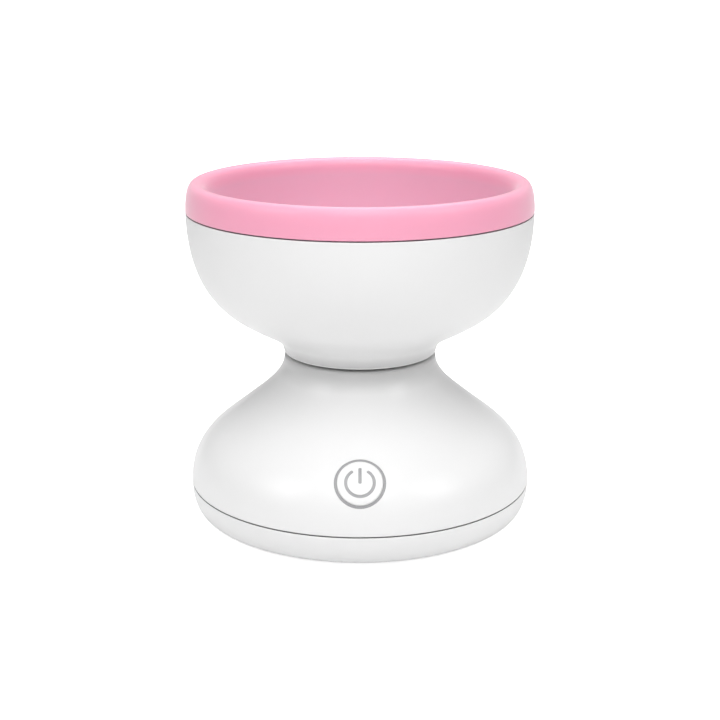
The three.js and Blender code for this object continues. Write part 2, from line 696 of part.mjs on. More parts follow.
function bowl() {
  const screws = hubTurns.map((turn, i) =>
    piece(`hub_screw_${i + 1}`, panScrew(hubScrew), steel, polar(hub.screwCircle, turn, bowlFloorZ - hubScrewSink + 0.05)),
  );
  return group(
    piece("bowl_shell", bowlShell(), whiteGloss),
    piece("silicone_liner", siliconeLiner(), pinkSilicone),
    piece("drive_hub", driveHub(), darkPlastic),
    piece("bowl_shaft", bowlShaft(), steel),
    piece("shaft_clip", retainingClip(), steel, new THREE.Vector3(0, 0, clipZ)),
    piece("bowl_washer", ring(bowlScrew.shank + 0.25, washer.radius, 0, washer.thick), steel, new THREE.Vector3(0, 0, hubTopZ + 0.05)),
    piece("bowl_screw", panScrew(bowlScrew), steel, new THREE.Vector3(0, 0, hubTopZ + washer.thick + 0.1)),
    piece("bowl_gear", bowlGear(), gearPlastic, new THREE.Vector3(0, 0, 0), idlerBearing),
    ...screws,
  );
}

// ---------------------------------------------------------------- gear train

const involute = (angle) => Math.tan(angle) - angle;

// Outline of an involute spur gear with a tooth pointing along +X.
function gearOutline(teeth) {
  const radius = pitch(teeth);
  const base = radius * Math.cos(pressureAngle);
  const root = radius - 1.25 * gearModule;
  const tip = radius + 0.95 * gearModule;
  const halfTooth = Math.PI / (2 * teeth) - backlash / (2 * radius);
  const halfAt = (r) => halfTooth + involute(pressureAngle) - involute(Math.acos(Math.min(1, base / Math.max(r, base))));
  const flank = (teeth < 20 ? [root, radius, tip] : [root, tip]).map((r) => [r, halfAt(r)]);
  const tooth = [...flank.map(([r, half]) => [r, -half]), ...flank.reverse()];
  const outline = Array.from({ length: teeth }, (_, i) =>
    tooth.map(([r, turn]) => {
      const way = turn + (2 * Math.PI * i) / teeth;
      return point(r * Math.cos(way), r * Math.sin(way));
    }),
  );
  return new THREE.Shape(outline.flat());
}

// Adds the phase that puts a tooth gap, not a tooth, on the line of centres.
const gapToward = (turn, teeth) => turn + Math.PI / teeth;

function bowlGear() {
  const rim = pitch(bowlTeeth) - 2.4;
  const hubRadius = shaftRadius + 2.1;
  const dish = ring(hubRadius + 1.5, rim, bowlGearZ + 2.8, bowlGearZ + bowlGearWidth + 1);
  const body = joined(prism(gearOutline(bowlTeeth), bowlGearZ, bowlGearZ + bowlGearWidth), rod(hubRadius, gearHubZ, gearHubTopZ, ringFacets));
  return body.subtract(joined(dish, rod(holeFor(shaftRadius, press), gearHubZ - 1, gearHubTopZ + 1)));
}

function idlerGear() {
  const large = prism(gearOutline(idlerLargeTeeth), idlerLargeZ, idlerSmallZ);
  const small = prism(gearOutline(idlerSmallTeeth), idlerSmallZ - 0.2, bowlGearZ + bowlGearWidth + 0.8);
  const toMotor = motorBearing;
  const toBowl = gapToward(idlerBearing + Math.PI, idlerSmallTeeth);
  const boss = rod(idlerPinRadius + 1.4, plateTopZ + 0.2, idlerLargeZ + 1, ringFacets);
  const turnedTo = (solid, turn) => placedBy(solid, new THREE.Matrix4().makeRotationZ(turn));
  const bore = rod(holeFor(idlerPinRadius, running), plateTopZ - 1, bowlGearZ + bowlGearWidth + 2);
  return joined(turnedTo(large, toMotor), turnedTo(small, toBowl), boss).subtract(bore);
}

const pinionZ = idlerLargeZ - 0.4;
const pinionHigh = idlerLargeWidth + 0.9;

function gearPlate() {
  const reach = platePillarRadius + pillarRadius + 1;
  const hole = (radius, place = new THREE.Vector3()) => at(rod(radius, plateZ - 1, plateTopZ + 1), place);
  const screwSpots = [0, Math.PI].map((turn) => polar(motorScrewReach, turn).add(motorAxis));
  return ring(holeFor(bushOuterRadius - 0.5, press), reach, plateZ, plateTopZ, shellFacets).subtract(
    joined(
      hole(holeFor(idlerPinRadius, press), idlerAxis),
      hole(motorBoss.radius + seat, motorAxis),
      ...screwSpots.map((spot) => hole(holeFor(motorScrew.shank, 0.2), spot)),
      ...platePillarTurns.map((turn) => hole(holeFor(plateScrew.shank, 0.2), polar(platePillarRadius, turn))),
      hole(4.5, polar(14, THREE.MathUtils.degToRad(75))),
      hole(4.5, polar(15, THREE.MathUtils.degToRad(-10))),
    ),
  );
}

// Flanged bush whose flange stands on z = 0.
function flangedBush(outer, flangeRadius, length) {
  const bore = holeFor(shaftRadius, running, ringFacets);
  return turned(
    [
      [bore, -length],
      [outer, -length],
      [outer, 0],
      [flangeRadius, 0],
      [flangeRadius, bushFlange.thick - 0.05],
      [bore, bushFlange.thick - 0.05],
    ],
    ringFacets,
  );
}

function shaftSeal() {
  const outer = bushFlangeRadius + 3 - 0.1;
  const bore = shaftRadius + 0.15;
  return turned([[bore, 0.35], [outer, 0], [outer, 1], [bore + 1.2, 1], [bore, 1.5]], ringFacets);
}

function gearbox() {
  const upside = new THREE.Matrix4().makeRotationX(Math.PI);
  const plateScrews = platePillarTurns.map((turn, i) =>
    piece(`plate_screw_${i + 1}`, placedBy(panScrew(plateScrew), upside), steel, polar(platePillarRadius, turn, plateZ - 0.05)),
  );
  const lowerBushRadius = bushOuterRadius - 0.5;
  return group(
    piece("gear_plate", gearPlate(), steel),
    piece("idler_pin", rod(idlerPinRadius, plateZ, idlerBossZ + 3), steel, idlerAxis),
    piece("idler_gear", idlerGear(), gearPlastic, idlerAxis),
    piece("upper_bush", flangedBush(bushOuterRadius, bushFlangeRadius, deckZ - bossZ), bronze, new THREE.Vector3(0, 0, deckZ + 0.05)),
    piece("lower_bush", flangedBush(lowerBushRadius, lowerBushRadius + 1.4, plateThick), bronze, new THREE.Vector3(0, 0, plateTopZ + 0.05)),
    piece("thrust_washer", ring(holeFor(shaftRadius, running), lowerBushRadius + 0.5, 0, thrustThick), bronze, new THREE.Vector3(0, 0, thrustZ)),
    piece("shaft_seal", shaftSeal(), blackRubber, new THREE.Vector3(0, 0, deckZ + bushFlange.thick + 0.15)),
    ...plateScrews,
  );
}

// ---------------------------------------------------------------- motor

const motorBoss = { radius: 3.1, high: 1.4 };
const motorTopZ = plateZ - 0.1;
const motorOpenZ = motorTopZ - motorLength;
const endCap = { thick: 2.2, spigot: 1.2 };
const magnet = { thick: 2, gap: 0.15, turn: THREE.MathUtils.degToRad(62) };

function motorCan() {
  const bore = holeFor(motorShaftRadius, running);
  const screwHoles = [0, Math.PI].map((turn) =>
    at(rod(holeFor(motorScrew.shank, press), -2, 1), polar(motorScrewReach, turn)),
  );
  return turned(
    [
      [bore, motorBoss.high],
      [motorBoss.radius, motorBoss.high],
      [motorBoss.radius, 0],
      [motorRadius - 0.6, 0],
      [motorRadius, -0.6],
      [motorRadius, -motorLength],
      [motorRadius - motorSkin, -motorLength],
      [motorRadius - motorSkin, -1],
      [bore, -1],
    ],
    ringFacets,
  ).subtract(joined(...screwHoles));
}

function motorEndCap() {
  const tab = (side) => solidOf(new THREE.BoxGeometry(2.4, 0.5, 2 * motorTab).translate(side * 6, 3, -endCap.thick));
  const body = joined(
    rod(motorRadius, -endCap.thick, -0.05, ringFacets),
    rod(motorRadius - motorSkin - 0.1, -0.2, endCap.spigot, ringFacets),
    rod(3, -endCap.thick - 0.8, 0, ringFacets),
    tab(-1),
    tab(1),
  );
  return body.subtract(rod(holeFor(motorShaftRadius, running), -endCap.thick - 0.2, endCap.spigot + 1));
}

function motorMagnet() {
  const outer = motorRadius - motorSkin - magnet.gap;
  const shape = new THREE.Shape();
  shape.absarc(0, 0, outer, -magnet.turn, magnet.turn, false);
  shape.absarc(0, 0, outer - magnet.thick, magnet.turn, -magnet.turn, true);
  return prism(shape, endCap.spigot + 0.6, motorLength - 3.2, 8);
}

// Shaft, commutator and three-pole armature, which turn together.
function motorRotor() {
  const radius = motorRadius - motorSkin - magnet.gap - magnet.thick - 0.5;
  const slots = [0, 1, 2].map((i) => at(rod(radius * 0.3, 0, motorLength), polar(radius * 0.98, ((2 * i + 1) * Math.PI) / 3)));
  const armature = rod(radius, endCap.spigot + 2.4, motorLength - 4, ringFacets).subtract(joined(...slots));
  const shaft = rod(motorShaftRadius, -endCap.thick, pinionZ + pinionHigh + 0.4 - motorOpenZ);
  return joined(armature, rod(motorShaftRadius + 1.6, endCap.spigot + 0.5, endCap.spigot + 3), shaft);
}

function pinion() {
  return prism(gearOutline(pinionTeeth), 0, pinionHigh).subtract(rod(holeFor(motorShaftRadius, press), -1, pinionHigh + 1));
}

function motor() {
  const turns = [0, Math.PI];
  const frame = group(
    piece("motor_can", motorCan(), steel, new THREE.Vector3(0, 0, motorTopZ)),
    piece("motor_end_cap", motorEndCap(), darkPlastic, new THREE.Vector3(0, 0, motorOpenZ)),
    ...turns.map((turn, i) => piece(`motor_magnet_${i + 1}`, motorMagnet(), magnetGrey, new THREE.Vector3(0, 0, motorOpenZ), turn)),
    piece("motor_rotor", motorRotor(), steel, new THREE.Vector3(0, 0, motorOpenZ)),
    piece("motor_pinion", pinion(), bronze, new THREE.Vector3(0, 0, pinionZ), gapToward(motorBearing + Math.PI, pinionTeeth)),
    ...turns.map((turn, i) => piece(`motor_screw_${i + 1}`, panScrew(motorScrew), steel, polar(motorScrewReach, turn, plateTopZ + 0.05))),
  );
  frame.position.copy(motorAxis);
  return frame;
}

// ---------------------------------------------------------------- power button

// The power mark: an open ring and a bar, as one prism through the cap.
function powerMark() {
  const [outer, inner] = [markRadius + markStroke / 2, markRadius - markStroke / 2];
  const [from, to] = [Math.PI / 2 + markGap, Math.PI * 2.5 - markGap];
  const arc = new THREE.Shape();
  arc.absarc(0, 0, outer, from, to, false);
  arc.absarc(0, 0, inner, to, from, true);
  const bar = new THREE.Shape([
    point(-markStroke / 2, -markBar.below),
    point(markStroke / 2, -markBar.below),
    point(markStroke / 2, markBar.above),
    point(-markStroke / 2, markBar.above),
  ]);
  return joined(prism(arc, -3, 3), prism(bar, -3, 3)).translate([0, -markDrop, 0]);
}

function buttonCap() {
  const local = (solid) => placedBy(solid, toButton);
  const cap = rod(buttonRadius, -switchStackZ, 3, ringFacets).intersect(local(baseEnvelope(buttonProud)));
  const hollow = rod(buttonRadius - 1.4, -switchStackZ - 1, -2.4, ringFacets);
  const flange = ring(buttonRadius - 1.4, buttonRadius + 1, -switchStackZ, -capFlangeZ);
  const stem = rod(1.5, -plungerZ, -2.2);
  const mark = powerMark().subtract(local(baseEnvelope(buttonProud - markDepth)));
  return joined(cap.subtract(hollow), flange, stem).subtract(mark);
}

function buttonBezel() {
  const inner = holeFor(buttonRadius, running, ringFacets);
  const outer = sleeveRadius - ringFit;
  const collar = ring(inner, outer, -bezelBackZ, 3).intersect(placedBy(baseEnvelope(), toButton));
  return joined(collar, ring(inner, bezelFlangeRadius, -bezelBackZ, -sleeveDepth - ringFit));
}

function powerSwitch() {
  const half = { x: switchPostX + 2.8, y: 6.5 };
  const boardHoles = [-1, 1].map((side) =>
    at(rod(holeFor(switchScrew.shank, 0.2), -1, 3), new THREE.Vector3(side * switchPostX, 0, 0)),
  );
  const panel = block(2 * half.x, 2 * half.y, 0, board.thick).subtract(joined(...boardHoles));
  const plungerHole = rod(holeFor(1.5, running), 1.4, switchSize.high + 1);
  const body = block(switchSize.side, switchSize.side, 0, switchSize.high).subtract(plungerHole);
  const plunger = rod(1.5, 0, switchTopZ - plungerZ + switchSize.high - 2.1);
  const upside = new THREE.Matrix4().makeRotationX(Math.PI);
  const screws = [-1, 1].map((side, i) =>
    piece(`switch_screw_${i + 1}`, placedBy(panScrew(switchScrew), upside), steel, new THREE.Vector3(side * switchPostX, 0, switchBackZ - 0.05)),
  );
  return [
    piece("switch_board", panel, boardGreen, new THREE.Vector3(0, 0, switchBackZ)),
    piece("switch_body", body, darkPlastic, new THREE.Vector3(0, 0, -switchBoardZ)),
    piece("switch_plunger", plunger, blackRubber, new THREE.Vector3(0, 0, -switchTopZ - switchSize.high + 2.05)),
    piece("status_led", block(2, 1.6, 0, 1), whiteGloss, new THREE.Vector3(6.2, 0, -switchBoardZ)),
    ...screws,
  ];
}

function button() {
  const frame = group(
    piece("power_button", buttonCap(), whiteGloss),
    piece("button_ring", buttonBezel(), greyTrim),
    ...powerSwitch(),
  );
  frame.applyMatrix4(buttonFrame);
  return frame;
}

// ---------------------------------------------------------------- electronics

function mainBoard() {
  const backY = boardEdgeY - board.length;
  const holes = boardPosts.slice(0, 2).map((post) => at(rod(holeFor(boardScrew.shank, 0.2), board.z - 1, board.z + 3), post));
  return block(2 * board.halfWidth, board.length, board.z, board.z + board.thick)
    .translate([0, backY + board.length / 2, 0])
    .subtract(joined(...holes));
}

// Charging socket: a metal shell with round ends and the contact tongue inside it. Its mouth is at y = 0.
function chargingSocket() {
  const skin = 0.3;
  const shell = prism(stadium(socket.width, socket.high), -socket.length, 0);
  const mouth = prism(stadium(socket.width - 2 * skin, socket.high - 2 * skin), -socket.length + 1, 1);
  const tongue = solidOf(new THREE.BoxGeometry(6.6, 0.7, socket.length - 1.6).translate(0, 0, -socket.length / 2 - 0.3));
  return placedBy(joined(shell.subtract(mouth), tongue), new THREE.Matrix4().makeRotationX(-Math.PI / 2));
}

function cell() {
  const half = battery.length / 2;
  const nub = 2.8;
  return placedBy(
    turned(
      [
        [0, -half],
        [battery.radius - 0.6, -half],
        [battery.radius, -half + 0.6],
        [battery.radius, half - 1.6],
        [battery.radius - 0.6, half - 1],
        [nub, half - 1],
        [nub, half],
        [0, half],
      ],
      ringFacets,
    ),
    new THREE.Matrix4().makeRotationX(-Math.PI / 2),
  );
}

// Springy strap that arches over the cell and clips beside its two saddles.
function cellStrap() {
  const inner = battery.radius + 0.3;
  const shape = new THREE.Shape();
  shape.absarc(0, 0, inner + 1, 0, Math.PI, false);
  shape.lineTo(-inner - 1, trayFloorZ - batteryZ + 0.1);
  shape.lineTo(-inner, trayFloorZ - batteryZ + 0.1);
  shape.absarc(0, 0, inner, Math.PI, 0, true);
  shape.lineTo(inner, trayFloorZ - batteryZ + 0.1);
  shape.lineTo(inner + 1, trayFloorZ - batteryZ + 0.1);
  return placedBy(prism(shape, -4, 4), new THREE.Matrix4().makeRotationX(Math.PI / 2));
}

// Insulated lead along a smooth curve through the given points.
function lead(name, material, radius, places) {
  const route = new THREE.CatmullRomCurve3(places.map((p) => new THREE.Vector3(...p)));
  const section = new THREE.Shape(
    Array.from({ length: 6 }, (_, i) => point(radius * Math.cos((i * Math.PI) / 3), radius * Math.sin((i * Math.PI) / 3))),
  );
  const steps = Math.ceil(route.getLength() / (4.5 * radius));
  return piece(name, solidOf(new THREE.ExtrudeGeometry(section, { steps, extrudePath: route })), material);
}

function electronics() {
  const boardTopZ = board.z + board.thick;
  const padZ = boardTopZ + leadRadius + 0.2;
  const backY = boardEdgeY - board.length;
  const cellEnd = battery.length / 2;
  const floorZ = trayFloorZ + leadRadius + leadLift;
  const corridorX = batteryX - battery.radius - 2.2;
  const switchPad = new THREE.Vector3(6, -4, switchBackZ - leadRadius - 0.2).applyMatrix4(buttonFrame);
  const motorUnderZ = motorOpenZ - endCap.thick - motorTab - leadRadius - 0.3;
  const screws = boardPosts.slice(0, 2).map((post, i) =>
    piece(`board_screw_${i + 1}`, panScrew(boardScrew), steel, post.clone().setZ(boardTopZ + 0.05)),
  );
  return group(
    piece("main_board", mainBoard(), boardGreen),
    piece("charging_socket", chargingSocket(), steel, new THREE.Vector3(0, socketFaceY, socketZ)),
    piece("control_chip", block(5, 5, 0, 1.1), darkPlastic, new THREE.Vector3(2, backY + 10, boardTopZ + 0.05)),
    piece("battery_cell", cell(), cellWrap, new THREE.Vector3(batteryX, 0, batteryZ)),
    piece("battery_strap", cellStrap(), darkPlastic, new THREE.Vector3(batteryX, 0, batteryZ)),
    ...screws,
    lead("battery_lead_red", redWire, leadRadius, [
      [batteryX, cellEnd + 1, batteryZ + 1],
      [batteryX - 1, cellEnd + 4, batteryZ + 3],
      [batteryX - 5, cellEnd + 8, boardTopZ + 3.5],
      [board.halfWidth - 1, backY + 16, boardTopZ + 2.5],
      [board.halfWidth - 5, backY + 16, padZ],
    ]),
    lead("battery_lead_black", blackWire, leadRadius, [
      [batteryX, -cellEnd - 1, batteryZ + 1],
      [batteryX - 3, -cellEnd - 3.5, batteryZ + 1],
      [corridorX + 1, -cellEnd + 1, floorZ + 3],
      [corridorX, -cellEnd + 10, floorZ],
      [corridorX, 0, floorZ],
      [corridorX, backY - 6, floorZ + 1],
      [corridorX, backY + 3, boardTopZ + 1],
      [board.halfWidth - 2.5, backY + 9, padZ],
    ]),
    lead("switch_lead", greyTrim, leadRadius, [
      switchPad.toArray(),
      [6.5, switchPad.y + 2.5, (switchPad.z + floorZ) / 2],
      [7, -28, floorZ],
      [7, -5, floorZ],
      [6.5, backY - 8, floorZ + 2],
      [6, backY - 2.5, boardTopZ + 2],
      [5.5, backY + 3.5, padZ],
    ]),
    ...[-1, 1].map((side) =>
      lead(side < 0 ? "motor_lead_red" : "motor_lead_black", side < 0 ? redWire : blackWire, leadRadius, [
        [motorAxis.x + side * 6, motorAxis.y + 3.1, motorUnderZ],
        [motorAxis.x + side * 6, motorAxis.y + 6, floorZ + 0.6],
        [motorAxis.x + side * 4 + 2, motorAxis.y + 14, floorZ],
        [motorAxis.x + side * 3 + 5, backY - 8, floorZ + 2],
        [motorAxis.x + side * 3 + 6, backY - 2.5, boardTopZ + 2],
        [motorAxis.x + side * 3 + 6.5, backY + 4, padZ],
      ]),
    ),
  );
}

// ---------------------------------------------------------------- the whole washer

export default group(casing(), bowl(), gearbox(), motor(), button(), electronics());
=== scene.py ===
"""Electric brush cleaner: fine shells, silicone liner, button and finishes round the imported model."""

import json
import math

import bmesh
import bpy
import numpy as np
from bpy.props import FloatProperty, FloatVectorProperty, IntProperty, PointerProperty
from mathutils import Matrix, Vector


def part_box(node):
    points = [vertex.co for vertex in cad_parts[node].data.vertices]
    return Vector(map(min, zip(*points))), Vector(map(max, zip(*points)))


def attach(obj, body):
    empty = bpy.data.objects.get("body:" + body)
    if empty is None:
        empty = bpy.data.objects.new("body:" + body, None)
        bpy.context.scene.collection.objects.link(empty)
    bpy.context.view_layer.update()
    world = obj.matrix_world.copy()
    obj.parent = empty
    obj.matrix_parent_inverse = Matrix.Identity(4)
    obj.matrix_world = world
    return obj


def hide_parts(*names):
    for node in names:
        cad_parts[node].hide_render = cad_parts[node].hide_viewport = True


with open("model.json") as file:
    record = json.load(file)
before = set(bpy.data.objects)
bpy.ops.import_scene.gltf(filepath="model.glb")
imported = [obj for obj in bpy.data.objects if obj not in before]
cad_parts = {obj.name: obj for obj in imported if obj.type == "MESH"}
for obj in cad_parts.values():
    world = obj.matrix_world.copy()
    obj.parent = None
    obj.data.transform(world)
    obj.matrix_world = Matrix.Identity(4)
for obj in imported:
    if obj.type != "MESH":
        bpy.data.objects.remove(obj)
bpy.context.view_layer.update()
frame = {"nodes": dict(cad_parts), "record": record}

bl_info = {
    "name": "Brush cleaner",
    "version": (1, 0, 0),
    "blender": (4, 5, 0),
    "location": "View3D > Sidebar > Cleaner",
    "description": "Builds the visible shells, liner, button and finishes of a spinning brush cleaner",
    "category": "Object",
}

MM = 0.001
TAU = 2 * math.pi


# ------------------------------------------------------------------ sizes read from the frame, in millimetres


def low(node, axis):
    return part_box(node)[0][axis] / MM


def high(node, axis):
    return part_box(node)[1][axis] / MM


def middle(node):
    lowest, highest = (Vector(corner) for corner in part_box(node))
    return (lowest + highest) / 2 / MM


BASE_RADIUS = high("base_housing", 0)
BOWL_RADIUS = high("bowl_shell", 0)
UNDERSIDE = low("bottom_cover", 2)
COLLAR_TOP = high("base_housing", 2)
NECK = COLLAR_TOP - 3.2
TONGUE_TOP = high("bottom_cover", 2)
BASE_SEAM = TONGUE_TOP - 2.5
BOWL_FOOT = low("bowl_shell", 2)
BOWL_RIM = high("bowl_shell", 2)
RIM_SEAM = BOWL_RIM - 5.7
LIP = high("silicone_liner", 2)
BOWL_FLOOR = low("silicone_liner", 2) - 0.3
SEAM = 0.3
WALL = 2.2


# ------------------------------------------------------------------ settings that a user would change


class CleanerSizes(bpy.types.PropertyGroup):
    segments: IntProperty(
        name="Segments", description="Steps round each turned shell", default=256, min=32, max=512
    )
    curve_steps: IntProperty(
        name="Curve steps", description="Steps along each curve of an outline", default=26, min=6, max=80
    )
    edge_round: FloatProperty(
        name="Edge round", description="Rounding of the shells' moulded edges", default=0.3 * MM, unit="LENGTH"
    )
    nub_count: IntProperty(
        name="Nubs", description="Scrubbing nubs on the liner's floor", default=150, min=0, max=600
    )
    nub_radius: FloatProperty(
        name="Nub radius", description="Radius of one scrubbing nub", default=0.95 * MM, unit="LENGTH"
    )
    rib_count: IntProperty(
        name="Ribs", description="Scrubbing ribs round the liner's wall", default=40, min=0, max=120
    )
    mark_depth: FloatProperty(
        name="Mark depth", description="Depth of the power mark in the cap", default=0.18 * MM, unit="LENGTH"
    )


def colour_property(name, description, value):
    return FloatVectorProperty(name=name, description=description, subtype="COLOR", size=3, min=0, max=1, default=value)


class CleanerColours(bpy.types.PropertyGroup):
    shell: colour_property("Shell", "Gloss white of the two shells", (0.84, 0.84, 0.84))
    silicone: colour_property("Silicone", "Pink of the liner", (0.95, 0.39, 0.54))
    mark: colour_property("Mark", "Grey of the power mark and its ring", (0.33, 0.33, 0.34))
    floor: colour_property("Floor", "Pale studio floor", (0.88, 0.88, 0.88))


# ------------------------------------------------------------------ outlines


def bezier(p0, p1, p2, p3, steps):
    """Points and directions along a cubic curve in the (radius, height) plane."""
    found = []
    for i in range(steps + 1):
        t = i / steps
        a, b, c, d = (1 - t) ** 3, 3 * t * (1 - t) ** 2, 3 * t * t * (1 - t), t**3
        place = Vector(p0) * a + Vector(p1) * b + Vector(p2) * c + Vector(p3) * d
        way = (
            (Vector(p1) - Vector(p0)) * (1 - t) ** 2
            + (Vector(p2) - Vector(p1)) * 2 * t * (1 - t)
            + (Vector(p3) - Vector(p2)) * t * t
        )
        found.append((place, way.normalized()))
    return found


def beside(curve, distance):
    """A curve moved sideways; a positive distance is to the right of the way it runs."""
    return [(p.x + w.y * distance, p.y - w.x * distance) for p, w in curve]


def end_to_end(*curves):
    joined = list(curves[0])
    for curve in curves[1:]:
        joined += curve[1:]
    return joined


def rounded(corners, steps=5):
    """An outline through (radius, height) or (radius, height, rounding) corners, with arcs at the rounded ones."""
    count = len(corners)
    outline = []
    for i, corner in enumerate(corners):
        here = Vector(corner[:2])
        rounding = corner[2] if len(corner) > 2 else 0
        if not rounding:
            outline.append(tuple(here))
            continue
        before = Vector(corners[i - 1][:2]) - here
        after = Vector(corners[(i + 1) % count][:2]) - here
        half = before.angle(after) / 2
        back = min(rounding / math.tan(half), before.length * 0.49, after.length * 0.49)
        radius = back * math.tan(half)
        start, end = here + before.normalized() * back, here + after.normalized() * back
        centre = here + (before.normalized() + after.normalized()).normalized() * radius / math.sin(half)
        first, last = start - centre, end - centre
        turn = first.angle_signed(last)
        for k in range(steps + 1):
            spoke = first.copy()
            spoke.rotate(Matrix.Rotation(-turn * k / steps, 2))
            outline.append(tuple(centre + spoke))
    return outline


def belly_curve(steps):
    """Outer side of the upper casing, from the neck's top down to the seam."""
    slope = math.radians(39)
    way = Vector((math.cos(slope), -math.sin(slope)))
    turn = Vector((37.97, NECK - 17.16))
    hollow = bezier((23.9, NECK), (23.9, NECK - 6.9), turn - way * 7.8, turn, steps)
    side = bezier(turn, turn + way * 9.5, (BASE_RADIUS, BASE_SEAM + 13.2), (BASE_RADIUS, BASE_SEAM), steps + 6)
    return end_to_end(hollow, side)


def tray_curve(steps):
    """Side of the lower casing, from the seam down to the underside."""
    edge = BASE_RADIUS - 4.55
    return bezier(
        (BASE_RADIUS, BASE_SEAM), (BASE_RADIUS, BASE_SEAM - 9), (edge + 0.6, UNDERSIDE), (edge, UNDERSIDE), steps
    )


def bowl_curve(steps):
    """Outer side of the bowl, from the cuff's seam down to the foot's edge, and the part of it that is the foot."""
    slope = math.radians(30.6)
    way = Vector((math.cos(slope), math.sin(slope)))
    turn = Vector((35.59, BOWL_FOOT + 9.94))
    side = bezier((BOWL_RADIUS, RIM_SEAM), (BOWL_RADIUS, RIM_SEAM - 25.3), turn + way * 6.4, turn, steps + 6)
    foot = bezier(turn, turn - way * 5.4, (23.92, BOWL_FOOT + 4.6), (23.92, BOWL_FOOT), steps)
    return end_to_end(side, foot), foot


RIM_OUTER = BOWL_RADIUS - 1.7 - 0.3
RIM_INNER = RIM_OUTER - 1.5


def inside_curve(steps):
    """Inner side of the white bowl, from the rim's seam height down to the edge of the flat floor."""
    return bezier((RIM_INNER, RIM_SEAM), (RIM_INNER, RIM_SEAM - 23.7), (40, BOWL_FLOOR), (24, BOWL_FLOOR), steps)


# ------------------------------------------------------------------ meshes


def new_object(name, mesh):
    made = bpy.data.objects.new(name, mesh)
    bpy.context.scene.collection.objects.link(made)
    return made


def mesh_from(name, points, faces):
    """A mesh object from points in millimetres, with its faces pointing outwards."""
    shape = bmesh.new()
    corners = [shape.verts.new(Vector(p) * MM) for p in points]
    for face in faces:
        shape.faces.new([corners[k] for k in face])
    bmesh.ops.recalc_face_normals(shape, faces=shape.faces)
    mesh = bpy.data.meshes.new(name)
    shape.to_mesh(mesh)
    shape.free()
    return new_object(name, mesh)


def turned(name, outline, segments):
    """Closed solid of revolution about Z; points on the axis become poles."""
    points, rows, faces = [], [], []
    for radius, z in outline:
        if radius < 1e-6:
            rows.append([len(points)])
            points.append((0, 0, z))
            continue
        rows.append(list(range(len(points), len(points) + segments)))
        turns = (TAU * k / segments for k in range(segments))
        points += [(radius * math.cos(turn), radius * math.sin(turn), z) for turn in turns]
    for row, after in zip(rows, rows[1:] + rows[:1]):
        if len(row) == 1 and len(after) == 1:
            continue
        for k in range(segments):
            n = (k + 1) % segments
            if len(row) == 1:
                faces.append((row[0], after[k], after[n]))
            elif len(after) == 1:
                faces.append((row[k], after[0], row[n]))
            else:
                faces.append((row[k], after[k], after[n], row[n]))
    return mesh_from(name, points, faces)


def rod(name, radius, z0, z1, segments=48):
    return turned(name, [(0, z0), (radius, z0), (radius, z1), (0, z1)], segments)


def slab(name, width, depth, z0, z1):
    half = Vector((width / 2, depth / 2))
    ring = [(-half.x, -half.y), (half.x, -half.y), (half.x, half.y), (-half.x, half.y)]
    points = [(x, y, z) for z in (z0, z1) for x, y in ring]
    faces = [(0, 1, 2, 3), (4, 5, 6, 7)] + [(k, (k + 1) % 4, 4 + (k + 1) % 4, 4 + k) for k in range(4)]
    return mesh_from(name, points, faces)


def stadium(name, width, height, z0, z1, edge=0.0, steps=16):
    """Prism with round ends, its long side along X, with an optional chamfer at its upper end."""
    half = (width - height) / 2

    def loop(grow, z):
        ring = []
        for side, start in ((1, -math.pi / 2), (-1, math.pi / 2)):
            for k in range(steps + 1):
                turn = start + math.pi * k / steps
                reach = height / 2 + grow
                ring.append((side * half + reach * math.cos(turn), reach * math.sin(turn), z))
        return ring

    loops = [loop(0, z0), loop(0, z1 - edge), loop(-edge, z1)] if edge else [loop(0, z0), loop(0, z1)]
    count = len(loops[0])
    points = [p for ring in loops for p in ring]
    faces = [tuple(range(count)), tuple(range(len(points) - count, len(points)))]
    for row in range(len(loops) - 1):
        for k in range(count):
            n = (k + 1) % count
            a, b = row * count, (row + 1) * count
            faces.append((a + k, a + n, b + n, b + k))
    return mesh_from(name, points, faces)


def moved(piece, matrix):
    """Places a piece by moving its mesh; the matrix is in millimetres."""
    scale = Matrix.Diagonal((MM, MM, MM, 1))
    piece.data.transform(scale @ matrix @ scale.inverted())
    return piece


def shifted(piece, place):
    return moved(piece, Matrix.Translation(Vector(place)))


def apply_modifiers(piece):
    """Turns a piece's modifiers into its mesh."""
    view = bpy.context.evaluated_depsgraph_get()
    mesh = bpy.data.meshes.new_from_object(piece.evaluated_get(view))
    piece.modifiers.clear()
    spent = piece.data
    piece.data = mesh
    bpy.data.meshes.remove(spent)


def carve(piece, how, *tools):
    """Joins tools to a piece, cuts them from it or keeps what they share; the tools are used up."""
    for tool in tools:
        cut = piece.modifiers.new("carve", "BOOLEAN")
        cut.operation = how
        cut.object = tool
        cut.solver = "MANIFOLD"
        apply_modifiers(piece)
        bpy.data.meshes.remove(tool.data)
    return piece



def finished(piece, body, finish, *nodes, angle=35):
    """Gives a piece its material and smooth shading, hangs it on its body and hides the CAD parts it stands for."""
    piece.data.materials.clear()
    piece.data.materials.append(finish)
    piece.data.shade_smooth()
    piece.data.set_sharp_from_angle(angle=math.radians(angle))
    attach(piece, body)
    if nodes:
        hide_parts(*nodes)
    return piece


# ------------------------------------------------------------------ the button's own frame


def button_frame():
    """Origin on the belly under the cap; X across, Y up the belly, Z outwards, from the CAD joint's own axis."""
    joints = frame["record"]["behaviour"]["joints"]
    inward = Vector(next(j for j in joints if j["name"] == "power_button_press")["axis"])
    outward = -inward.normalized()
    across = Vector((1, 0, 0))
    upward = outward.cross(across)
    belly = beside(belly_curve(120), 0)
    radii, heights = zip(*reversed(belly))
    spot = 25.48
    origin = Vector((0, -float(np.interp(spot, heights, radii)), spot))
    turn = Matrix((across, upward, outward)).transposed()
    return Matrix.Translation(origin) @ turn.to_4x4()


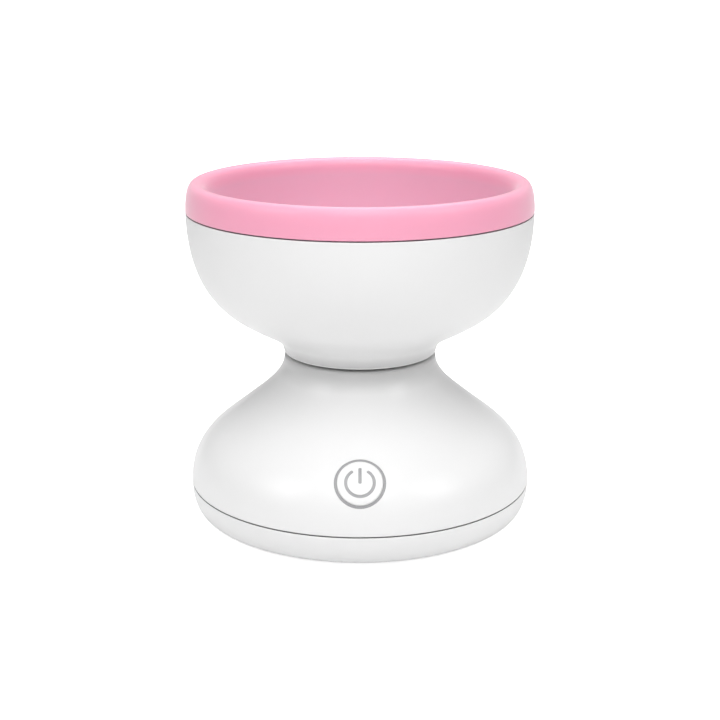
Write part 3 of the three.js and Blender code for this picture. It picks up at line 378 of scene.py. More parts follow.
BUTTON = button_frame()


def belly_height(x, y, grow):
    """Height of the belly, grown by a distance, over the button's own plane at local points."""
    outer = beside(belly_curve(120), -grow)
    radii, heights = (np.array(v) for v in zip(*reversed(outer)))
    origin, across, upward, outward = (np.array(BUTTON.col[k][:3]) for k in (3, 0, 1, 2))
    base = origin + x[:, None] * across + y[:, None] * upward

    def outside(t):
        p = base + t[:, None] * outward
        return np.hypot(p[:, 0], p[:, 1]) - np.interp(p[:, 2], heights, radii)

    lower, upper = np.full(len(x), -8.0), np.full(len(x), 6.0)
    for _ in range(40):
        mid = (lower + upper) / 2
        out = outside(mid) > 0
        upper = np.where(out, mid, upper)
        lower = np.where(out, lower, mid)
    return (lower + upper) / 2


def cad_local(node):
    """A CAD node's corners in the button's own frame, in millimetres."""
    mesh = frame["nodes"][node].data
    flat = np.empty(len(mesh.vertices) * 3)
    mesh.vertices.foreach_get("co", flat)
    corners = np.c_[flat.reshape(-1, 3) / MM, np.ones(len(mesh.vertices))]
    return (corners @ np.array(BUTTON.inverted()).T)[:, :3]


def polar_solid(name, radii, top, walls, segments):
    """Closed solid in the button's frame: a sculpted top over rings of radii, then a wall of (radius, height) steps."""
    turns = np.arange(segments) * TAU / segments
    x = np.outer(radii, np.cos(turns))
    y = np.outer(radii, np.sin(turns))
    z = top(x.ravel(), y.ravel()).reshape(x.shape)
    rings = [np.stack((x[k], y[k], z[k]), axis=1) for k in range(len(radii))]
    for radius, height in walls:
        rings.append(np.stack((radius * np.cos(turns), radius * np.sin(turns), np.full(segments, height)), axis=1))
    points = [tuple(p) for ring in rings for p in ring]
    faces = []
    rows = [list(range(k * segments, (k + 1) * segments)) for k in range(len(rings))]
    open_ended = radii[0] > 0.5
    for row, after in zip(rows, rows[1:] + (rows[:1] if open_ended else [])):
        faces += [(row[k], row[(k + 1) % segments], after[(k + 1) % segments], after[k]) for k in range(segments)]
    if not open_ended:
        faces += [tuple(rows[0]), tuple(rows[-1])]
    return moved(mesh_from(name, points, faces), BUTTON)


# ------------------------------------------------------------------ shader groups


def shader_group(name, inputs, outputs):
    tree = bpy.data.node_groups.new(name, "ShaderNodeTree")
    kinds = {"float": "NodeSocketFloat", "vector": "NodeSocketVector", "colour": "NodeSocketColor"}
    for label, kind, value in inputs:
        made = tree.interface.new_socket(name=label, in_out="INPUT", socket_type=kinds[kind])
        if value is not None:
            made.default_value = value
    for label, kind in outputs:
        tree.interface.new_socket(name=label, in_out="OUTPUT", socket_type=kinds[kind])
    return tree, tree.nodes.new("NodeGroupInput"), tree.nodes.new("NodeGroupOutput")


def add(tree, kind, settings=None, **values):
    """A node with its settings and its unlinked input values, by socket name."""
    node = tree.nodes.new(kind)
    for key, value in (settings or {}).items():
        setattr(node, key, value)
    for key, value in values.items():
        node.inputs[key.replace("_", " ")].default_value = value
    return node


def math_node(tree, operation, a, b=None):
    node = tree.nodes.new("ShaderNodeMath")
    node.operation = operation
    for socket, value in zip(node.inputs, (a, b)):
        if value is None:
            continue
        if isinstance(value, (int, float)):
            socket.default_value = value
        else:
            tree.links.new(value, socket)
    return node.outputs[0]


def moulded_group():
    """Moulded plastic or rubber: fine grain, slow flow marks and a roughness that drifts a little."""
    tree, given, out = shader_group(
        "moulded surface",
        [
            ("Vector", "vector", None),
            ("Grain Scale", "float", 2500.0),
            ("Flow Scale", "float", 60.0),
            ("Roughness", "float", 0.3),
            ("Roughness Drift", "float", 0.05),
            ("Flow Share", "float", 0.5),
        ],
        [("Roughness", "float"), ("Height", "float"), ("Drift", "float")],
    )
    link = tree.links.new
    grain = add(tree, "ShaderNodeTexNoise", Detail=2.0, Roughness=0.55)
    flow = add(tree, "ShaderNodeTexNoise", Detail=3.0, Roughness=0.5)
    link(given.outputs["Vector"], grain.inputs["Vector"])
    link(given.outputs["Vector"], flow.inputs["Vector"])
    link(given.outputs["Grain Scale"], grain.inputs["Scale"])
    link(given.outputs["Flow Scale"], flow.inputs["Scale"])
    drift = math_node(tree, "SUBTRACT", flow.outputs[0], 0.5)
    rough = math_node(tree, "MULTIPLY", drift, given.outputs["Roughness Drift"])
    link(math_node(tree, "ADD", rough, given.outputs["Roughness"]), out.inputs["Roughness"])
    slow = math_node(tree, "MULTIPLY", flow.outputs[0], given.outputs["Flow Share"])
    link(math_node(tree, "ADD", slow, grain.outputs[0]), out.inputs["Height"])
    link(flow.outputs[0], out.inputs["Drift"])
    return tree


def specks_group():
    """Lint and dust: a few soft specks, as a mask."""
    tree, given, out = shader_group(
        "dust specks",
        [("Vector", "vector", None), ("Scale", "float", 500.0), ("Amount", "float", 0.1)],
        [("Mask", "float")],
    )
    link = tree.links.new
    cells = add(tree, "ShaderNodeTexVoronoi", {"feature": "F1"}, Randomness=1.0)
    link(given.outputs["Vector"], cells.inputs["Vector"])
    link(given.outputs["Scale"], cells.inputs["Scale"])
    near = math_node(tree, "LESS_THAN", cells.outputs["Distance"], given.outputs["Amount"])
    where = add(tree, "ShaderNodeTexNoise", Scale=45.0, Detail=1.0)
    link(given.outputs["Vector"], where.inputs["Vector"])
    patch = math_node(tree, "GREATER_THAN", where.outputs[0], 0.56)
    link(math_node(tree, "MULTIPLY", near, patch), out.inputs["Mask"])
    return tree


def reach_node(tree, split):
    """Distance from the Z axis, from a separated position."""
    across = math_node(tree, "MULTIPLY", split.outputs["X"], split.outputs["X"])
    along = math_node(tree, "MULTIPLY", split.outputs["Y"], split.outputs["Y"])
    return math_node(tree, "SQRT", math_node(tree, "ADD", across, along))


def seam_shade_group():
    """Painted shade in a parting line: a mask for the faces that lie deep in the gap at a height."""
    tree, given, out = shader_group(
        "painted seam shade",
        [
            ("Vector", "vector", None),
            ("Height", "float", 0.0),
            ("Half Width", "float", 0.0003),
            ("Radius", "float", 0.05),
        ],
        [("Mask", "float")],
    )
    link = tree.links.new
    split = tree.nodes.new("ShaderNodeSeparateXYZ")
    link(given.outputs["Vector"], split.inputs[0])
    off = math_node(tree, "ABSOLUTE", math_node(tree, "SUBTRACT", split.outputs["Z"], given.outputs["Height"]))
    level = math_node(tree, "LESS_THAN", off, given.outputs["Half Width"])
    reach = reach_node(tree, split)
    deep = math_node(tree, "LESS_THAN", reach, given.outputs["Radius"])
    link(math_node(tree, "MULTIPLY", level, deep), out.inputs["Mask"])
    return tree


def shade_group():
    """Painted shade that starts at a height and deepens below it, within a radius and down to a clean edge."""
    tree, given, out = shader_group(
        "soft shade",
        [
            ("Vector", "vector", None),
            ("Radius", "float", 0.05),
            ("Top", "float", 0.1),
            ("Depth", "float", 0.005),
            ("Bottom", "float", -1.0),
        ],
        [("Mask", "float")],
    )
    link = tree.links.new
    split = tree.nodes.new("ShaderNodeSeparateXYZ")
    link(given.outputs["Vector"], split.inputs[0])
    reach = reach_node(tree, split)
    near = math_node(tree, "LESS_THAN", reach, given.outputs["Radius"])
    above = math_node(tree, "GREATER_THAN", split.outputs["Z"], given.outputs["Bottom"])
    below = math_node(tree, "SUBTRACT", given.outputs["Top"], split.outputs["Z"])
    fall = math_node(tree, "DIVIDE", below, given.outputs["Depth"])
    fade = math_node(tree, "MINIMUM", math_node(tree, "MAXIMUM", fall, 0.0), 1.0)
    link(math_node(tree, "MULTIPLY", math_node(tree, "MULTIPLY", near, above), fade), out.inputs["Mask"])
    return tree


def scratch_group():
    """Fine drawn lines on metal, stretched along Z."""
    tree, given, out = shader_group(
        "drawn metal",
        [("Vector", "vector", None), ("Scale", "float", 900.0), ("Roughness", "float", 0.3)],
        [("Roughness", "float"), ("Height", "float")],
    )
    link = tree.links.new
    stretch = add(tree, "ShaderNodeMapping", Scale=(1.0, 1.0, 0.06))
    lines = add(tree, "ShaderNodeTexNoise", Detail=3.0, Roughness=0.7)
    link(given.outputs["Vector"], stretch.inputs["Vector"])
    link(stretch.outputs[0], lines.inputs["Vector"])
    link(given.outputs["Scale"], lines.inputs["Scale"])
    spread = math_node(tree, "MULTIPLY", math_node(tree, "SUBTRACT", lines.outputs[0], 0.5), 0.35)
    link(math_node(tree, "ADD", spread, given.outputs["Roughness"]), out.inputs["Roughness"])
    link(lines.outputs[0], out.inputs["Height"])
    return tree


# ------------------------------------------------------------------ materials

# Painted shade in the parting lines: a dark grey on the faces deep in each gap.
SEAM_SHADE_HALF_WIDTH = 0.32
SEAM_SHADE_DEPTH = 0.14
SEAM_SHADE_COLOUR = (0.28, 0.28, 0.28)
NECK_SHADE = (0.61, 0.61, 0.61)
FOOT_SHADE = (0.6, 0.6, 0.6)
# Painted shading: a paler, duller pink for the liner's inner side, which is the same silicone as its outside.
PAINTED_INNER_PINK = (0.8, 0.46, 0.58)


def new_material(name, colour, **values):
    made = bpy.data.materials.new(name)
    made.use_nodes = True
    tree = made.node_tree
    surface = tree.nodes["Principled BSDF"]
    surface.inputs["Base Color"].default_value = (*colour, 1)
    for key, value in values.items():
        surface.inputs[key.replace("_", " ")].default_value = value
    return made, tree, surface


def group_node(tree, group, **values):
    node = tree.nodes.new("ShaderNodeGroup")
    node.node_tree = bpy.data.node_groups[group]
    coords = tree.nodes.new("ShaderNodeTexCoord")
    tree.links.new(coords.outputs["Object"], node.inputs["Vector"])
    for key, value in values.items():
        node.inputs[key.replace("_", " ")].default_value = value
    return node


def bump(tree, surface, height, strength, distance):
    node = add(tree, "ShaderNodeBump", Strength=strength, Distance=distance)
    tree.links.new(height, node.inputs["Height"])
    tree.links.new(node.outputs[0], surface.inputs["Normal"])


def blended(tree, mask, first, second):
    """Mix from the first to the second by a mask; each is a colour or another node's output."""
    mix = tree.nodes.new("ShaderNodeMix")
    mix.data_type = "RGBA"
    tree.links.new(mask, mix.inputs["Factor"])
    for socket, value in ((mix.inputs[6], first), (mix.inputs[7], second)):
        if isinstance(value, bpy.types.NodeSocket):
            tree.links.new(value, socket)
        else:
            socket.default_value = (*value, 1)
    return mix


def tinted(tree, surface, mask, share, colour, other):
    """Blends the base colour towards another by a mask that varies over the surface."""
    mix = blended(tree, math_node(tree, "MULTIPLY", mask, share), colour, other)
    tree.links.new(mix.outputs[2], surface.inputs["Base Color"])
    return mix


def moulded(name, colour, roughness, drift=0.06, grain=2500.0, flow=60.0, depth=0.02, other=None, share=0.3, **values):
    made, tree, surface = new_material(name, colour, **values)
    skin = group_node(
        tree, "moulded surface", Grain_Scale=grain, Flow_Scale=flow, Roughness=roughness, Roughness_Drift=drift
    )
    tree.links.new(skin.outputs["Roughness"], surface.inputs["Roughness"])
    bump(tree, surface, skin.outputs["Height"], 0.25, depth * MM)
    if other:
        tinted(tree, surface, skin.outputs["Drift"], share, colour, other)
    return made


def drawn_metal(name, colour, roughness, depth=0.01):
    made, tree, surface = new_material(name, colour, Metallic=1.0)
    lines = group_node(tree, "drawn metal", Roughness=roughness)
    tree.links.new(lines.outputs["Roughness"], surface.inputs["Roughness"])
    bump(tree, surface, lines.outputs["Height"], 0.3, depth * MM)
    return made


def gloss_shell(name, colour, seam, radius, shade, over, under):
    """Glossy moulded plastic with painted shade in its parting line, and a painted shade that runs from one colour to
    another.
    """
    made = moulded(name, colour, 0.32, 0.05, depth=0.012, Coat_Weight=0.1, Coat_Roughness=0.1)
    tree = made.node_tree
    # Painted shade: the faces deep in the parting line get a dark grey base colour.
    dark = group_node(
        tree, "painted seam shade", Height=seam * MM, Half_Width=SEAM_SHADE_HALF_WIDTH * MM, Radius=(radius - SEAM_SHADE_DEPTH) * MM
    )
    mix = tinted(tree, tree.nodes["Principled BSDF"], dark.outputs["Mask"], 1.0, colour, SEAM_SHADE_COLOUR)
    soft = group_node(tree, "soft shade", Radius=radius * MM, **shade)
    tree.links.new(blended(tree, soft.outputs["Mask"], over, under).outputs[2], mix.inputs[6])
    return made


def silicone(colour):
    """Satin silicone: light passes a little way in, with a fine matt grain, a trace of dust, and a paler, duller pink
    painted on its inner side as shading.
    """
    made, tree, surface = new_material(
        "pink silicone",
        colour,
        Subsurface_Weight=0.12,
        Subsurface_Scale=0.003,
        Sheen_Weight=0.5,
        Sheen_Roughness=0.4,
    )
    surface.inputs["Subsurface Radius"].default_value = (1.0, 0.35, 0.45)
    skin = group_node(tree, "moulded surface", Grain_Scale=3200.0, Flow_Scale=45.0, Roughness=0.36, Roughness_Drift=0.1)
    tree.links.new(skin.outputs["Roughness"], surface.inputs["Roughness"])
    bump(tree, surface, skin.outputs["Height"], 0.3, 0.02 * MM)
    dust = group_node(tree, "dust specks", Scale=420.0, Amount=0.05)
    mix = tinted(tree, surface, dust.outputs["Mask"], 0.12, colour, (0.98, 0.78, 0.84))
    # Painted shading: the liner's inner side gets a paler, duller pink than its outside.
    inner = group_node(tree, "soft shade", Radius=(BOWL_RADIUS - 4) * MM, Top=(LIP - 0.6) * MM, Depth=5 * MM)
    paler = blended(tree, inner.outputs["Mask"], mix.outputs[2], PAINTED_INNER_PINK)
    tree.links.new(paler.outputs[2], surface.inputs["Base Color"])
    return made


def cap_material(shell, mark):
    """White cap whose engraved mark is filled with grey."""
    made, tree, surface = new_material("button cap", shell, Coat_Weight=0.3, Coat_Roughness=0.1)
    skin = group_node(tree, "moulded surface", Roughness=0.3, Roughness_Drift=0.05)
    tree.links.new(skin.outputs["Roughness"], surface.inputs["Roughness"])
    bump(tree, surface, skin.outputs["Height"], 0.2, 0.015 * MM)
    inked = tree.nodes.new("ShaderNodeAttribute")
    inked.attribute_name = "mark"
    tinted(tree, surface, inked.outputs["Fac"], 1.0, shell, mark)
    return made


def board_material():
    """Green solder resist over copper tracks."""
    made, tree, surface = new_material("board green", (0.01, 0.16, 0.07), Coat_Weight=0.6, Coat_Roughness=0.15)
    coords = tree.nodes.new("ShaderNodeTexCoord")
    tracks = add(tree, "ShaderNodeTexBrick", {"offset": 0.37, "squash": 1.6}, Scale=420.0, Mortar_Size=0.045)
    tree.links.new(coords.outputs["Object"], tracks.inputs["Vector"])
    tinted(tree, surface, tracks.outputs["Fac"], 0.8, (0.01, 0.16, 0.07), (0.05, 0.33, 0.13))
    surface.inputs["Roughness"].default_value = 0.35
    bump(tree, surface, tracks.outputs["Fac"], 0.4, 0.03 * MM)
    return made


def cell_material():
    """Shrink wrap with a pale band near its positive end, along Y."""
    made, tree, surface = new_material("cell wrap", (0.02, 0.11, 0.4), Coat_Weight=0.5, Coat_Roughness=0.2)
    coords = tree.nodes.new("ShaderNodeTexCoord")
    split = tree.nodes.new("ShaderNodeSeparateXYZ")
    tree.links.new(coords.outputs["Object"], split.inputs[0])
    band = math_node(tree, "GREATER_THAN", split.outputs["Y"], 19 * MM)
    tinted(tree, surface, band, 1.0, (0.02, 0.11, 0.4), (0.75, 0.76, 0.78))
    surface.inputs["Roughness"].default_value = 0.3
    return made


FINISHES = {}


def make_finishes(colours):
    moulded_group()
    specks_group()
    scratch_group()
    seam_shade_group()
    shade_group()
    shell, mark = tuple(colours.shell), tuple(colours.mark)
    neck = dict(Top=NECK * MM, Depth=6.5 * MM)
    foot = dict(Top=(BOWL_FOOT + 4) * MM, Depth=3.5 * MM, Bottom=(BOWL_FOOT + 0.5) * MM)
    FINISHES.update(
        base=gloss_shell("white gloss base", shell, BASE_SEAM, BASE_RADIUS, neck, NECK_SHADE, shell),
        bowl=gloss_shell("white gloss bowl", shell, RIM_SEAM, BOWL_RADIUS, foot, shell, FOOT_SHADE),
        silicone=silicone(tuple(colours.silicone)),
        ring=moulded("grey light ring", mark, 0.35, other=(0.38, 0.38, 0.39)),
        cap=cap_material(shell, mark),
        rubber=moulded("black rubber", (0.025, 0.025, 0.028), 0.75, grain=1800.0, depth=0.05, other=(0.06, 0.06, 0.06)),
        acetal=moulded("natural acetal", (0.78, 0.74, 0.65), 0.42, flow=120.0, other=(0.7, 0.66, 0.57)),
        nylon=moulded("black nylon", (0.03, 0.03, 0.035), 0.5, depth=0.04, other=(0.06, 0.06, 0.06)),
        ferrite=moulded("ferrite", (0.07, 0.07, 0.075), 0.65, grain=1500.0, depth=0.06, other=(0.12, 0.11, 0.11)),
        steel=drawn_metal("zinc steel", (0.56, 0.57, 0.59), 0.32),
        bronze=drawn_metal("sintered bronze", (0.56, 0.36, 0.17), 0.42, 0.03),
        board=board_material(),
        cell=cell_material(),
        lens=moulded("milky lens", (0.85, 0.85, 0.82), 0.3),
        red=moulded("red insulation", (0.5, 0.02, 0.02), 0.4, other=(0.4, 0.015, 0.015)),
        black=moulded("black insulation", (0.02, 0.02, 0.02), 0.4, other=(0.04, 0.04, 0.04)),
        grey=moulded("grey insulation", (0.3, 0.3, 0.31), 0.4, other=(0.36, 0.36, 0.37)),
    )


# ------------------------------------------------------------------ geometry node trees


def socketed_tree(name, inputs):
    tree = bpy.data.node_groups.new(name, "GeometryNodeTree")
    kinds = {
        "geometry": "NodeSocketGeometry",
        "object": "NodeSocketObject",
        "material": "NodeSocketMaterial",
        "int": "NodeSocketInt",
        "float": "NodeSocketFloat",
        "vector": "NodeSocketVector",
    }
    for label, kind in inputs:
        tree.interface.new_socket(name=label, in_out="INPUT", socket_type=kinds[kind])
    tree.interface.new_socket(name="Geometry", in_out="OUTPUT", socket_type="NodeSocketGeometry")
    return tree, tree.nodes.new("NodeGroupInput"), tree.nodes.new("NodeGroupOutput")


def end_of_tree(tree, given, out, instances):
    """Realizes the copies and gives them their material."""
    real = tree.nodes.new("GeometryNodeRealizeInstances")
    dress = tree.nodes.new("GeometryNodeSetMaterial")
    tree.links.new(instances, real.inputs[0])
    tree.links.new(real.outputs[0], dress.inputs["Geometry"])
    tree.links.new(given.outputs["Material"], dress.inputs["Material"])
    tree.links.new(dress.outputs[0], out.inputs["Geometry"])


def copies_tree():
    """One template on every vertex of the mesh it is given, all with one turn."""
    tree, given, out = socketed_tree(
        "copies on points",
        [("Geometry", "geometry"), ("Template", "object"), ("Turn", "vector"), ("Material", "material")],
    )
    link = tree.links.new
    template = tree.nodes.new("GeometryNodeObjectInfo")
    copies = tree.nodes.new("GeometryNodeInstanceOnPoints")
    link(given.outputs["Template"], template.inputs["Object"])
    link(given.outputs["Geometry"], copies.inputs["Points"])
    link(template.outputs["Geometry"], copies.inputs["Instance"])
    link(given.outputs["Turn"], copies.inputs["Rotation"])
    end_of_tree(tree, given, out, copies.outputs[0])
    return tree


def round_axis_tree():
    """One template repeated round the Z axis."""
    tree, given, out = socketed_tree(
        "copies round the axis", [("Template", "object"), ("Count", "int"), ("Material", "material")]
    )
    link = tree.links.new
    spots = tree.nodes.new("GeometryNodePoints")
    template = tree.nodes.new("GeometryNodeObjectInfo")
    copies = tree.nodes.new("GeometryNodeInstanceOnPoints")
    index = tree.nodes.new("GeometryNodeInputIndex")
    turn = tree.nodes.new("ShaderNodeCombineXYZ")
    link(given.outputs["Count"], spots.inputs["Count"])
    link(given.outputs["Template"], template.inputs["Object"])
    link(spots.outputs[0], copies.inputs["Points"])
    link(template.outputs["Geometry"], copies.inputs["Instance"])
    share = math_node(tree, "DIVIDE", index.outputs[0], given.outputs["Count"])
    link(math_node(tree, "MULTIPLY", share, TAU), turn.inputs["Z"])
    link(turn.outputs[0], copies.inputs["Rotation"])
    end_of_tree(tree, given, out, copies.outputs[0])
    return tree


def sunflower_tree():
    """Domes spread evenly over a disc, each a golden turn on from the last."""
    tree, given, out = socketed_tree(
        "sunflower nubs",
        [("Count", "int"), ("Spacing", "float"), ("Radius", "float"), ("Height", "float"), ("Material", "material")],
    )
    link = tree.links.new
    spots = tree.nodes.new("GeometryNodePoints")
    index = tree.nodes.new("GeometryNodeInputIndex")
    link(given.outputs["Count"], spots.inputs["Count"])
    ring = math_node(tree, "SQRT", math_node(tree, "ADD", index.outputs[0], 0.5))
    reach = math_node(tree, "MULTIPLY", ring, given.outputs["Spacing"])
    turn = math_node(tree, "MULTIPLY", index.outputs[0], TAU * (1 - 2 / (1 + math.sqrt(5))))
    place = tree.nodes.new("ShaderNodeCombineXYZ")
    link(math_node(tree, "MULTIPLY", reach, math_node(tree, "COSINE", turn)), place.inputs["X"])
    link(math_node(tree, "MULTIPLY", reach, math_node(tree, "SINE", turn)), place.inputs["Y"])
    link(given.outputs["Height"], place.inputs["Z"])
    link(place.outputs[0], spots.inputs["Position"])
    link(given.outputs["Radius"], spots.inputs["Radius"])
    dome = add(tree, "GeometryNodeMeshIcoSphere", Subdivisions=3)
    link(given.outputs["Radius"], dome.inputs["Radius"])
    copies = add(tree, "GeometryNodeInstanceOnPoints", Scale=(1.0, 1.0, 0.8))
    link(spots.outputs[0], copies.inputs["Points"])
    link(dome.outputs["Mesh"], copies.inputs["Instance"])
    end_of_tree(tree, given, out, copies.outputs[0])
    return tree


def grown(name, tree, mesh=None, **values):
    """Runs a tree once on a new object and keeps the result as plain mesh."""
    piece = new_object(name, mesh or bpy.data.meshes.new(name))
    maker = piece.modifiers.new("maker", "NODES")
    maker.node_group = tree
    for item in tree.interface.items_tree:
        if item.in_out == "INPUT" and item.name in values:
            maker[item.identifier] = values[item.name]
    apply_modifiers(piece)
    return piece


def copies(name, template, places, finish, turn=(0, 0, 0)):
    """Copies of a template at places in millimetres, as one piece; the template is used up."""
    spots = bpy.data.meshes.new(name)
    spots.from_pydata([Vector(p) * MM for p in places], [], [])
    tree = bpy.data.node_groups.get("copies on points") or copies_tree()
    piece = grown(name, tree, spots, Template=template, Turn=turn, Material=finish)
    bpy.data.meshes.remove(template.data)
    return piece


# ------------------------------------------------------------------ pieces


def envelope(grow, steps):
    """The base's whole outer form as a solid, grown by a distance."""
    edge = BASE_RADIUS - 4.55
    side = list(reversed(beside(belly_curve(steps), -grow)))
    return turned("envelope", [(0, UNDERSIDE), (edge + grow, UNDERSIDE), *side, (0, NECK)], 128)


class CLEANER_OT_base(bpy.types.Operator):
    """Upper and lower casing of the base"""

    bl_idname = "cleaner.base"
    bl_label = "Base casing"

    def execute(self, context):
        self.upper(context.scene.cleaner_sizes)
        self.lower(context.scene.cleaner_sizes)
        return {"FINISHED"}

    def upper(self, sizes):
        edge = sizes.edge_round / MM
        deck, under = NECK - 1.4, NECK - 3.5
        collar = (20.92, 19.32)
        rim = (10.3, 9.1)
        bore = 4.53
        curve = belly_curve(sizes.curve_steps)
        outer = [p for p in beside(curve, 0) if BASE_SEAM + 0.7 < p[1] < NECK - 2]
        inner = [p for p in beside(curve, WALL) if TONGUE_TOP + 2 < p[1] < under - 0.5]
        seam = BASE_SEAM + SEAM / 2
        outline = [
            (BASE_RADIUS, seam, edge),
            *reversed(outer),
            (23.9, NECK, 0.95),
            (collar[0], NECK, 0.3),
            (collar[0], COLLAR_TOP, 0.3),
            (collar[1], COLLAR_TOP, 0.3),
            (collar[1], deck, 0.3),
            (rim[0], deck, 0.3),
            (rim[0], deck + 2.2, 0.3),
            (rim[1], deck + 2.2, 0.3),
            (rim[1], deck),
            (bore, deck),
            (bore, under - 3.7),
            (bore + 3, under - 3.7, 0.3),
            (bore + 3, under, 0.4),
            (inner[0][0] + 0.2, under, 0.4),
            *inner,
            (BASE_RADIUS - WALL, TONGUE_TOP + 1),
            (BASE_RADIUS - WALL, seam, 0.15),
        ]
        shell = turned("casing_upper", rounded(outline), sizes.segments)
        self.stiffen(shell, deck - 1)
        self.open(shell)
        finished(shell, "base", FINISHES["base"], "base_housing")

    def stiffen(self, shell, top):
        """Pillars, bosses and the button's sleeve inside the casing."""
        sleeve_back = cad_local("button_ring")[:, 2].min() + 0.9
        posts = []
        for node, radius in (("plate_screw", 3.0), ("cover_screw", 3.4)):
            for k in range(1, 4 if node == "plate_screw" else 5):
                spot = middle(f"{node}_{k}")
                foot = high("gear_plate", 2) + 0.1 if node == "plate_screw" else 7.2
                posts.append(shifted(rod("post", radius, foot, top), (spot.x, spot.y, 0)))
        idler = middle("idler_pin")
        posts.append(shifted(rod("post", 3.3, high("bowl_gear", 2) + 0.3, top), (idler.x, idler.y, 0)))
        posts.append(moved(rod("sleeve", 9.6, sleeve_back, 4, 96), BUTTON))
        back = cad_local("switch_board")[:, 2].max() + 0.1
        for k in (1, 2):
            spot = cad_local(f"switch_screw_{k}")
            posts.append(moved(shifted(rod("post", 2, back, 4), (float(spot[:, 0].mean()), 0, 0)), BUTTON))
        for post in posts:
            carve(post, "INTERSECT", envelope(-0.4, 40))
        carve(shell, "UNION", *posts)

    def open(self, shell):
        """Holes for the button, the pins and screws, and the slot for the charging plug."""
        cuts = [moved(rod("cut", SLEEVE_RADIUS, -12, 6, 128), BUTTON)]
        for node, count, radius in (("plate_screw", 3, 1.13), ("cover_screw", 4, 1.23)):
            for k in range(1, count + 1):
                spot = middle(f"{node}_{k}")
                cuts.append(shifted(rod("cut", radius, 0, high(f"{node}_{k}", 2)), (spot.x, spot.y, 0)))
        idler = middle("idler_pin")
        cuts.append(shifted(rod("cut", 1.55, 30, high("idler_pin", 2) + 0.1), (idler.x, idler.y, 0)))
        plug = middle("charging_socket")
        face = high("charging_socket", 1)
        upright = Matrix.Translation((0, 0, plug.z)) @ Matrix.Rotation(-math.pi / 2, 4, "X")
        cuts.append(moved(stadium("slot", 9.54, 3.86, face - 6, face + 5), upright))
        cuts.append(moved(stadium("recess", 12.94, 7.26, face + 0.1, face + 5), upright))
        carve(shell, "DIFFERENCE", *cuts)

    def lower(self, sizes):
        edge = sizes.edge_round / MM
        seam = BASE_SEAM - SEAM / 2
        tongue = BASE_RADIUS - WALL - 0.3
        floor = UNDERSIDE + WALL
        curve = tray_curve(sizes.curve_steps)
        outer = [p for p in beside(curve, 0) if p[1] < BASE_SEAM - 0.7]
        inner = [p for p in beside(curve, WALL) if floor + 0.4 < p[1] < BASE_SEAM - 2]
        outline = [
            (0, UNDERSIDE),
            *reversed(outer),
            (BASE_RADIUS, seam, edge),
            (tongue, seam),
            (tongue, TONGUE_TOP, 0.3),
            (tongue - 1.2, TONGUE_TOP, 0.3),
            (tongue - 1.2, BASE_SEAM - 1.5),
            *inner,
            (BASE_RADIUS - 4.55 - WALL, floor),
            (0, floor),
        ]
        tray = turned("casing_lower", rounded(outline), sizes.segments)
        self.tray_details(tray, floor)
        finished(tray, "base", FINISHES["base"], "bottom_cover")

    def tray_details(self, tray, floor):
        """Screw towers, board posts and cell saddles, then the holes and pockets in them."""
        posts, cuts = [], []
        tower_top = 6.9
        for k in range(1, 5):
            spot = middle(f"cover_screw_{k}")
            seat = low(f"cover_screw_{k}", 2) + 1.95
            posts.append(shifted(rod("tower", 4.5, UNDERSIDE + 0.2, tower_top), (spot.x, spot.y, 0)))
            cuts.append(shifted(rod("cut", 2.9, UNDERSIDE - 1, seat), (spot.x, spot.y, 0)))
            cuts.append(shifted(rod("cut", 1.55, UNDERSIDE, tower_top + 1), (spot.x, spot.y, 0)))
        for k in range(1, 5):
            spot = middle(f"rubber_foot_{k}")
            cuts.append(shifted(rod("cut", 5.15, UNDERSIDE - 1, UNDERSIDE + 1, 96), (spot.x, spot.y, 0)))
        board_under = low("main_board", 2) - 0.1
        for k in (1, 2):
            spot = middle(f"board_screw_{k}")
            for y in (spot.y, spot.y + 17.5):
                posts.append(shifted(rod("post", 2.6, UNDERSIDE + 0.5, board_under), (spot.x, y, 0)))
            cuts.append(shifted(rod("cut", 1.03, low(f"board_screw_{k}", 2), board_under + 1), (spot.x, spot.y, 0)))
        cell = middle("battery_cell")
        for side in (-1, 1):
            saddle = slab("saddle", 17.1, 2, floor - 1, cell.z)
            posts.append(shifted(saddle, (cell.x, side * 15, 0)))
        along = Matrix.Translation(cell) @ Matrix.Rotation(math.pi / 2, 4, "X")
        cuts.append(moved(rod("cut", 7.25, -26, 26, 96), along))
        carve(tray, "UNION", *posts)
        carve(tray, "DIFFERENCE", *cuts)


